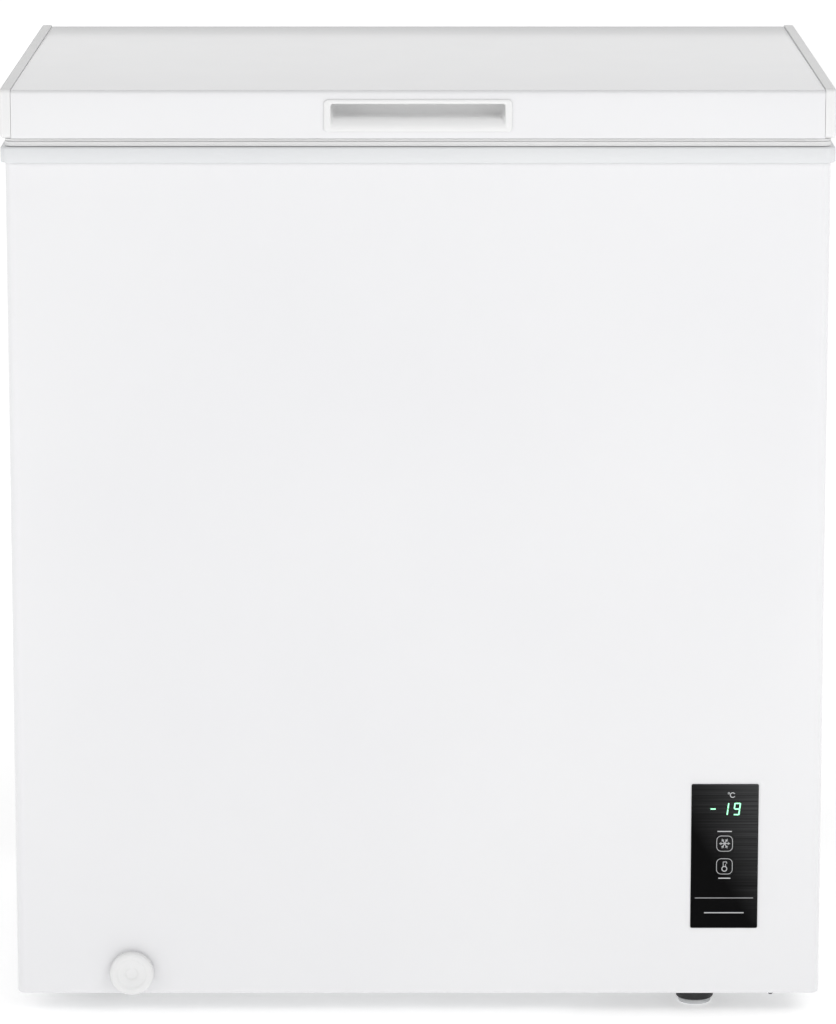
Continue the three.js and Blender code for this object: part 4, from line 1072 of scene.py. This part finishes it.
bolts = []
for side in ("left", "right"):
    low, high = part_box(f"tray_bolt_{side}")
    x, y, _ = middle(low, high)
    tall = (high[2] - low[2]) / MM
    under = tall - 1.5
    head = turned("head", [(0, 0), (4.0, 0), (4.9, 0.8), (4.9, under), (0, under)], 6, "up", (x, y, low[2]))
    collar = turned("collar", [(0, under), (5.0, under), (5.0, tall), (0, tall)], 32, "up", (x, y, low[2]))
    bolts += [head, collar]
bolt_nodes = ["tray_bolt_left", "tray_bolt_right"]
complete(joined("tray_bolts", bolts), "cabinet", spring_steel, bolt_nodes)

tray_low, tray_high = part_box("compressor_tray")
CLIP_Y = -241.0
CLIP_TOP = tray_low[2] / MM - 0.2
# place across, upper radius, length and lower radius of each clip
CLIPS = ((183.5, 3.5, 9.5, 3.2), (275.2, 2.3, 6.0, 2.2), (324.5, 3.6, 12.0, 2.3))
clips = []
for x, wide, length, narrow in CLIPS:
    clip_profile = [
        (0, -length), (narrow - 0.5, -length), (narrow, 0.6 - length), (wide, -1.0), (wide + 0.8, -0.6),
        (wide + 0.8, 0), (0, 0),
    ]
    clips.append(turned("clip", clip_profile, 24, "up", mm(x, CLIP_Y, CLIP_TOP)))
complete(joined("tray_clips", clips), "cabinet", black_plastic)
print("underside: four feet, two bolts, three clips")

# %% [markdown]
# ## Back
# The back is a flat galvanised sheet with pressed ribs that stiffen it. A louvred cover closes the
# compressor bay at one side, and cross-head screws hold the edges.


# %% Screws, back sheet and bay cover
def screw(at, facing, radius=3.8):
    """A pan-head screw with a cross recess, standing out along the facing direction."""
    dome = [(0, 1.9), (radius * 0.55, 1.8), (radius * 0.85, 1.35), (radius, 0.5)]
    screw_profile = dome + [(radius, 0), (0, 0)]
    head = turned("screw", screw_profile, 24)
    for angle in (0, 90):
        bar = block("bar", mm(-radius * 0.55, -0.4, 0.8), mm(radius * 0.55, 0.4, 3))
        select_only(bar)
        bar.rotation_euler = (0, 0, math.radians(angle))
        bpy.ops.object.transform_apply(location=True, rotation=True, scale=True)
        cut_away(head, bar)
    return settle(head, facing, at)


def rib(x0, x1, z0, z1, height=1.8):
    """A raised, rounded rib pressed out of the back sheet, in millimetres."""
    radius = min(x1 - x0, z1 - z0) / 2 - 0.1
    path = [(-0.5, 0), (0.0, 0), (height * 0.6, 1.2), (height * 0.92, 2.6), (height, 4.2)]
    loops = [mm(-x1 + i, -x0 - i, z0 + i, z1 - i, max(radius - i, 0.8), depth) for depth, i in path]
    return settle(loft("rib", loops, "capped", 5), "back", (0, BODY_BACK, 0))


cover_low, cover_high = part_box("rear_bay_cover")
back_sheet = block("back_sheet", back_low, back_high)
COVER_GAP = 0.3 * MM
corner_tool = block("corner_tool", (cover_low[0] - COVER_GAP, -1, -1), (1, 1, cover_high[2] + COVER_GAP))
cut_away(back_sheet, corner_tool)
RIB_HEIGHT = 14
ribs = [rib(-330, 330, z, z + RIB_HEIGHT) for z in (300, 380, 460, 540, 620)]
ribs += [rib(-330, 110, z, z + RIB_HEIGHT) for z in (70, 150, 225)]
back_piece = joined("back_sheet_piece", [back_sheet] + ribs)
complete(back_piece, "cabinet", zinc_sheet, ["back_panel"])

# %% Louvred cover
cover = block("bay_cover", cover_low, cover_high)
louvres = []
SLOT_LOW, SLOT_PITCH, SLOT_COUNT = 105.0, 15.0, 9
SLOT_X0, SLOT_X1 = cover_low[0] / MM + 30, cover_high[0] / MM - 31
# depth, inset at the ends and fall of the upper edge of a hood, a half-open pressed lip over its slot
HOOD_PATH = [(-0.4, 0.0, 0.0), (0.2, 0.0, 0.0), (2.4, 1.0, 2.4), (3.2, 2.4, 3.4)]
for index in range(SLOT_COUNT):
    z = SLOT_LOW + index * SLOT_PITCH
    slot_loops = [mm(-SLOT_X1, -SLOT_X0, z, z + 6, 2.9, depth) for depth in (-8, 8)]
    cut_away(cover, settle(loft("slot", slot_loops, "capped", 5), "back", (0, BODY_BACK, 0)))
    hood_loops = [
        mm(i - SLOT_X1, -SLOT_X0 - i, z + 3.4 + 0.1 * i, z + 10.5 - fall, 1.2, depth)
        for depth, i, fall in HOOD_PATH
    ]
    louvres.append(settle(loft("hood", hood_loops, "capped", 4), "back", (0, BODY_BACK, 0)))
gland_low, gland_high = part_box("cord_gland")
GLAND_X, _, GLAND_Z = middle(gland_low, gland_high)
cut_away(cover, rod("gland_tool", 7, 5, 32, "back", (GLAND_X, BODY_BACK, GLAND_Z)))
bay_cover = joined("bay_cover_piece", [cover] + louvres)
complete(bay_cover, "cabinet", zinc_sheet, ["rear_bay_cover"])

SEATED = 0.2 * MM  # a screw's head goes this far into the sheet
places = [(148, 30), (250, 30), (357, 30), (148, 238), (250, 238), (357, 238)]
places += [(-356, z) for z in (40, 290, 540, 775)] + [(356, z) for z in (300, 540, 775)]
places += [(x, 775) for x in (-110, 110)]
rear_screws = [screw((x * MM, BODY_BACK - SEATED, z * MM), "back") for x, z in places]
print("back:", len(ribs), "ribs,", SLOT_COUNT, "louvres,", len(rear_screws), "screws")

# %% [markdown]
# ## Hinges
# Each hinge is a folded channel behind the cabinet with a coil spring and a plunger inside. The leaf on the
# lid turns on a pin and presses on the plunger with its cam.

# %% Hinges
SPRING_TURNS = 9
SPRING_WIRE = 1.0
STEPS_PER_TURN = 14
HINGE_SHEET = 1.8 * MM
leaf_screws = []
for side in ("left", "right"):
    softened(f"hinge_{side}_bracket", "cabinet", zinc_sheet, 0.5 * MM)
    softened(f"hinge_{side}_leaf", "lid", zinc_sheet, 0.4 * MM)
    low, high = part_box(f"hinge_{side}_pin")
    _, axis_y, axis_z = middle(low, high)
    length = (high[0] - low[0]) / MM
    pin_profile = [
        (0, 0), (2.6, 0), (3, 0.4), (3, length - 2), (4.6, length - 2), (5, length - 1.6),
        (5, length - 0.8), (4.2, length), (0, length),
    ]
    toward, start = ("left", high[0]) if side == "left" else ("right", low[0])
    pin = turned(f"pin_{side}", pin_profile, 32, toward, (start, axis_y, axis_z))
    complete(pin, "cabinet", spring_steel, [f"hinge_{side}_pin"])

    low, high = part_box(f"hinge_{side}_plunger")
    x, y, _ = middle(low, high)
    wide, tall = (high[0] - low[0]) / 2 / MM, (high[2] - low[2]) / MM
    plunger_profile = [
        (0, 0), (2.5, 0), (3, 0.6), (3, tall - 13), (wide - 0.6, tall - 13), (wide, tall - 12.4),
        (wide, tall - 1.0), (wide - 1.0, tall), (0, tall),
    ]
    plunger = turned(f"plunger_{side}", plunger_profile, 40, "up", (x, y, low[2]))
    complete(plunger, f"hinge_{side}_plunger", black_plastic, [f"hinge_{side}_plunger"])

    low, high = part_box(f"hinge_{side}_spring")
    radius = (high[0] - low[0]) / 2 - SPRING_WIRE * MM
    rise = high[2] - low[2] - 2 * SPRING_WIRE * MM
    count = SPRING_TURNS * STEPS_PER_TURN
    helix = []
    for i in range(count + 1):
        around = 2 * math.pi * i / STEPS_PER_TURN
        height = low[2] + SPRING_WIRE * MM + rise * i / count
        helix.append((x + radius * math.cos(around), y + radius * math.sin(around), height))
    spring = wire(f"spring_{side}", helix, SPRING_WIRE * MM)
    complete(spring, "cabinet", spring_steel, [f"hinge_{side}_spring"], angle=60)

    bracket_low, bracket_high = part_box(f"hinge_{side}_bracket")
    flange_x = (bracket_low[0] / MM + 6, bracket_high[0] / MM - 6)
    flange_face = bracket_low[1] + HINGE_SHEET
    rear_screws += [screw((fx * MM, flange_face, fz * MM), "back") for fx in flange_x for fz in (706, 768)]
    leaf_low, leaf_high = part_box(f"hinge_{side}_leaf")
    leaf_face = leaf_low[1] + HINGE_SHEET
    leaf_screws += [screw((x + offset * MM, leaf_face, 830 * MM), "back", 3.6) for offset in (-10, 10)]

complete(joined("rear_screws", rear_screws), "cabinet", spring_steel)
complete(joined("leaf_screws", leaf_screws), "lid", spring_steel)
print("hinges: two, with springs, plungers and screws")

# %% [markdown]
# ## Side grille
# A moulded grille lets air to the compressor at the right side. Its frame has rounded edges, and its bars
# stand between level slots with round ends.

# %% Side grille
G_LOW, G_HIGH = grille_low / MM, grille_high / MM
GRILLE_FACE = grille_high[0]
plate_path = [(-4.3, 5.4), (-1.3, 5.4), (-1.3, 0.4), (-0.9, 0.0), (-0.5, 0.1), (-0.12, 0.5), (0.0, 1.3)]
plate_loops = [
    mm(G_LOW[1] + i, G_HIGH[1] - i, G_LOW[2] + i, G_HIGH[2] - i, max(4.0 - i, 1.5), depth)
    for depth, i in plate_path
]
grille = settle(loft("grille_plate", plate_loops, "capped", 6), "right", (GRILLE_FACE, 0, 0))
BAR_PITCH, BAR_GAP = 9.0, 5.0
FRAME_WIDTH = 15.0
bar_count = int((G_HIGH[2] - G_LOW[2] - 32) / BAR_PITCH)
for index in range(bar_count):
    z = G_LOW[2] + 18 + index * BAR_PITCH
    span = (G_LOW[1] + FRAME_WIDTH, G_HIGH[1] - FRAME_WIDTH, z, z + BAR_GAP)
    gap_loops = [mm(*span, 2.4, depth) for depth in (-9, 3)]
    cut_away(grille, settle(loft("gap", gap_loops, "capped", 5), "right", (GRILLE_FACE, 0, 0)))
complete(grille, "cabinet", rim_plastic, ["side_vent_grille"])
print("grille:", bar_count, "slots")

# %% [markdown]
# ## Inside
# The compartment is a pressed tub of pebbled aluminium with a step over the compressor. Its inner space is
# made first, as a rounded block less the step. The tub is that space's skin, thickened outwards to one
# millimetre.

# %% Tub
TUB_X = liner_high[0] / MM - 1
TUB_Y0, TUB_Y1 = liner_low[1] / MM + 1, liner_high[1] / MM - 1
TUB_FLOOR, TUB_TOP = liner_low[2] / MM + 1, liner_high[2] / MM
STEP_X, STEP_TOP = 84.7, 305.0
TUB_CORNER = 24.0
tub_box = mm(-TUB_X, TUB_X, TUB_Y0, TUB_Y1)
tub_path = [
    (8.0, 16.0, TUB_FLOOR), (3.0, 21.0, TUB_FLOOR + 1.2), (0.8, 23.2, TUB_FLOOR + 4.0),
    (0, TUB_CORNER, TUB_FLOOR + 8), (0, TUB_CORNER, TUB_TOP + 5),
]
tub = loft("tub", [inset_loop(tub_box, *mm(*point)) for point in tub_path], "capped", steps=10)
BEYOND = 20
step_low = mm(STEP_X, TUB_Y0 - BEYOND, TUB_FLOOR - BEYOND)
step_block = block("step_tool", step_low, mm(TUB_X + BEYOND, TUB_Y1 + BEYOND, STEP_TOP))


def step_edge(edge):
    return all(abs(v.co.x - STEP_X * MM) < CLOSE and abs(v.co.z - STEP_TOP * MM) < CLOSE for v in edge.verts)


round_edges(step_block, step_edge, 9 * MM, 6)
cut_away(tub, step_block)
cut_away(tub, block("top_tool", mm(-400, -400, TUB_TOP), mm(400, 400, TUB_TOP + 50)))
edit(tub)
choose("FACE", lambda f: f.normal.z > 0.9 and f.calc_center_median().z > (TUB_TOP - 0.1) * MM)
bpy.ops.mesh.delete(type="FACE")
bpy.ops.object.mode_set(mode="OBJECT")
with_modifier(tub, "SOLIDIFY", thickness=SHEET, offset=1)
OUTLET = 11.3
cut_away(tub, rod("outlet", OUTLET, 8, 40, "up", (plug_x, plug_y, TUB_FLOOR * MM)))
complete(tub, "cabinet", liner_metal, ["inner_liner"])
print("tub:", len(tub.data.polygons), "faces")

# %% [markdown]
# ### Wire basket
# The basket is welded from coated wire: a thick loop round the top, thinner loops lower down, U-shaped
# wires both ways across, and four hooks that lie on the rim's ledge.

# %% Basket
b_low, b_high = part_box("basket")
TOP_WIRE, LOOP_WIRE, CROSS_WIRE, HOOK_WIRE = 2.5, 1.8, 1.25, 2.0
BX0, BX1 = b_low[0] / MM + TOP_WIRE, b_high[0] / MM - TOP_WIRE
HOOK_Y0, HOOK_Y1 = b_low[1] / MM + HOOK_WIRE, b_high[1] / MM - HOOK_WIRE
HOOK_REACH = 18.5
BY0, BY1 = HOOK_Y0 + HOOK_REACH, HOOK_Y1 - HOOK_REACH
B_TOP = b_high[2] / MM - TOP_WIRE
B_FLOOR = b_low[2] / MM + CROSS_WIRE


def level_loop(inset, z, radius):
    corners = mm(BX0 + inset, BX1 - inset, BY0 + inset, BY1 - inset)
    return thickened(rectangle_loop(*corners, 16 * MM, z * MM, 6), radius * MM)


def basket_wire(name, path, radius, bend):
    return wire(name, [mm(*point) for point in path], radius * MM, bend * MM)


wires = [level_loop(0, B_TOP, TOP_WIRE)]
wires += [level_loop(2.4, z, LOOP_WIRE) for z in (B_FLOOR + 60, B_FLOOR + 130)]
inner = TOP_WIRE - CROSS_WIRE + 0.3
wire_top = B_TOP - 1
y0, y1 = BY0 + inner, BY1 - inner
FRONT_TO_BACK, SIDE_TO_SIDE = 12, 19
for i in range(FRONT_TO_BACK):
    x = BX0 + 20 + i * (BX1 - BX0 - 40) / (FRONT_TO_BACK - 1)
    path = [(x, y0, wire_top), (x, y0, B_FLOOR), (x, y1, B_FLOOR), (x, y1, wire_top)]
    wires.append(basket_wire("cross", path, CROSS_WIRE, 10))
x0, x1 = BX0 + inner, BX1 - inner
for i in range(SIDE_TO_SIDE):
    y = BY0 + 22 + i * (BY1 - BY0 - 44) / (SIDE_TO_SIDE - 1)
    z = B_FLOOR + 2 * CROSS_WIRE
    path = [(x0, y, wire_top), (x0, y, z), (x1, y, z), (x1, y, wire_top)]
    wires.append(basket_wire("cross", path, CROSS_WIRE, 10))
hook_z = LEDGE + HOOK_WIRE + 0.3
for x in (b_low[0] / MM + 30, b_high[0] / MM - 60):
    for edge, tip in ((BY0, HOOK_Y0), (BY1, HOOK_Y1)):
        path = [(x + 2, edge, hook_z), (x + 2, tip, hook_z), (x + 28, tip, hook_z), (x + 28, edge, hook_z)]
        wires.append(basket_wire("hook", path, HOOK_WIRE, 6))
basket = joined("wire_basket", wires)
complete(basket, "basket", coated_wire, ["basket"], angle=60)
print("basket:", len(wires), "wires,", len(basket.data.polygons), "faces")

# %% [markdown]
# ## Compressor bay
# Behind the covers stand a black welded compressor on rubber feet, its terminal cover, a copper drier and
# the tubes that run to the walls.

# %% Compressor and its mounts
c_low, c_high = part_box("compressor")
SHELL_R = 75  # at the weld; the turned shell is then scaled to its oval
shell_profile = [
    (0, 0), (48, 0), (59, 4.5), (66, 12.5), (70, 24), (71, 38), (71, 65.4), (71.8, 66.8), (SHELL_R, 67.4),
    (SHELL_R, 75.4), (71.8, 76), (71, 77.6), (71, 99), (69.6, 112), (65.8, 125), (58, 137), (46, 146.6),
    (31, 152.4), (15, 154.6), (0, 155),
]
cx, cy, _ = middle(c_low, c_high)
shell = turned("shell", shell_profile, 96)
select_only(shell)
shell_width = 2 * SHELL_R * MM
shell.scale = ((c_high[0] - c_low[0]) / shell_width, (c_high[1] - c_low[1]) / shell_width, 1)
bpy.ops.object.transform_apply(location=True, rotation=True, scale=True)
settle(shell, "up", (cx, cy, c_low[2]))
complete(shell, "cabinet", black_enamel, ["compressor"], angle=50)
softened("compressor_feet", "cabinet", black_enamel, 0.7 * MM)
softened("terminal_cover", "cabinet", black_plastic, 4.0 * MM, 4)
softened("compressor_tray", "cabinet", zinc_sheet, 0.5 * MM)
grommet_profile = [
    (0, 0), (10.2, 0), (11, 0.8), (11, 3.6), (8.8, 5.2), (8.5, 6), (8.8, 6.8), (11, 8.4),
    (11, 11.2), (10.2, 12),
    (0, 12),
]
for corner in ("front_left", "front_right", "rear_left", "rear_right"):
    low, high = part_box(f"compressor_grommet_{corner}")
    x, y, _ = middle(low, high)
    grommet = turned(f"grommet_{corner}", grommet_profile, 40, "up", (x, y, low[2]))
    complete(grommet, "cabinet", black_rubber, [f"compressor_grommet_{corner}"], angle=50)

# %% Drier, cord gland and control housing
d_low, d_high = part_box("filter_drier")
drier_length = (d_high[0] - d_low[0]) / MM
drier_profile = [
    (0, 0), (3.2, 0), (4, 0.6), (4.2, 4), (6.5, 10), (8.4, 13), (9, 16), (9, 88), (8.4, 91), (6.0, 95),
    (3.6, 99), (3.0, drier_length - 0.5), (2.4, drier_length), (0, drier_length),
]
_, drier_y, drier_z = middle(d_low, d_high)
drier = turned("drier", drier_profile, 48, "right", (d_low[0], drier_y, drier_z))
complete(drier, "cabinet", copper_tube, ["filter_drier"], angle=50)
gland_profile = [
    (4, -8), (6.2, -8), (6.7, -7.4), (6.7, 0.3), (8.4, 0.3), (9, 0.9), (9, 2.2), (8.2, 3), (6.8, 3.2),
    (6.2, 5), (5.7, 9.4), (5.1, 10), (4, 10), (4, -8),
]
gland = turned("gland", gland_profile, 48, "back", (GLAND_X, BODY_BACK, GLAND_Z))
complete(gland, "cabinet", black_rubber, ["cord_gland"], angle=50)
softened("control_housing", "cabinet", black_plastic, 0.8 * MM)
softened("display_board", "cabinet", green_board, 0.3 * MM)
print("bay: compressor, drier, gland, housing")

# %% [markdown]
# ## What stays
# The parts inside the walls keep their CAD shapes: the foam, the cooling coils, the drain tube and the
# sheets below. Each gets the finish of its material.

# %% Finishes for the nodes that stay
KEPT = {
    "bottom_panel": zinc_sheet,
    "body_foam": foam,
    "lid_foam": foam,
    "evaporator_coil": copper_tube,
    "condenser_coil": copper_tube,
    "suction_tube": copper_tube,
    "discharge_tube": copper_tube,
    "liquid_tube": copper_tube,
    "drain_tube": rim_plastic,
}
for name, material in KEPT.items():
    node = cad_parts[name]
    node.data.materials.clear()
    node.data.materials.append(material)
shown = [name for name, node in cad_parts.items() if not node.hide_render]
print("kept CAD nodes:", sorted(shown))
print("without a finish:", sorted(set(shown) - set(KEPT)))
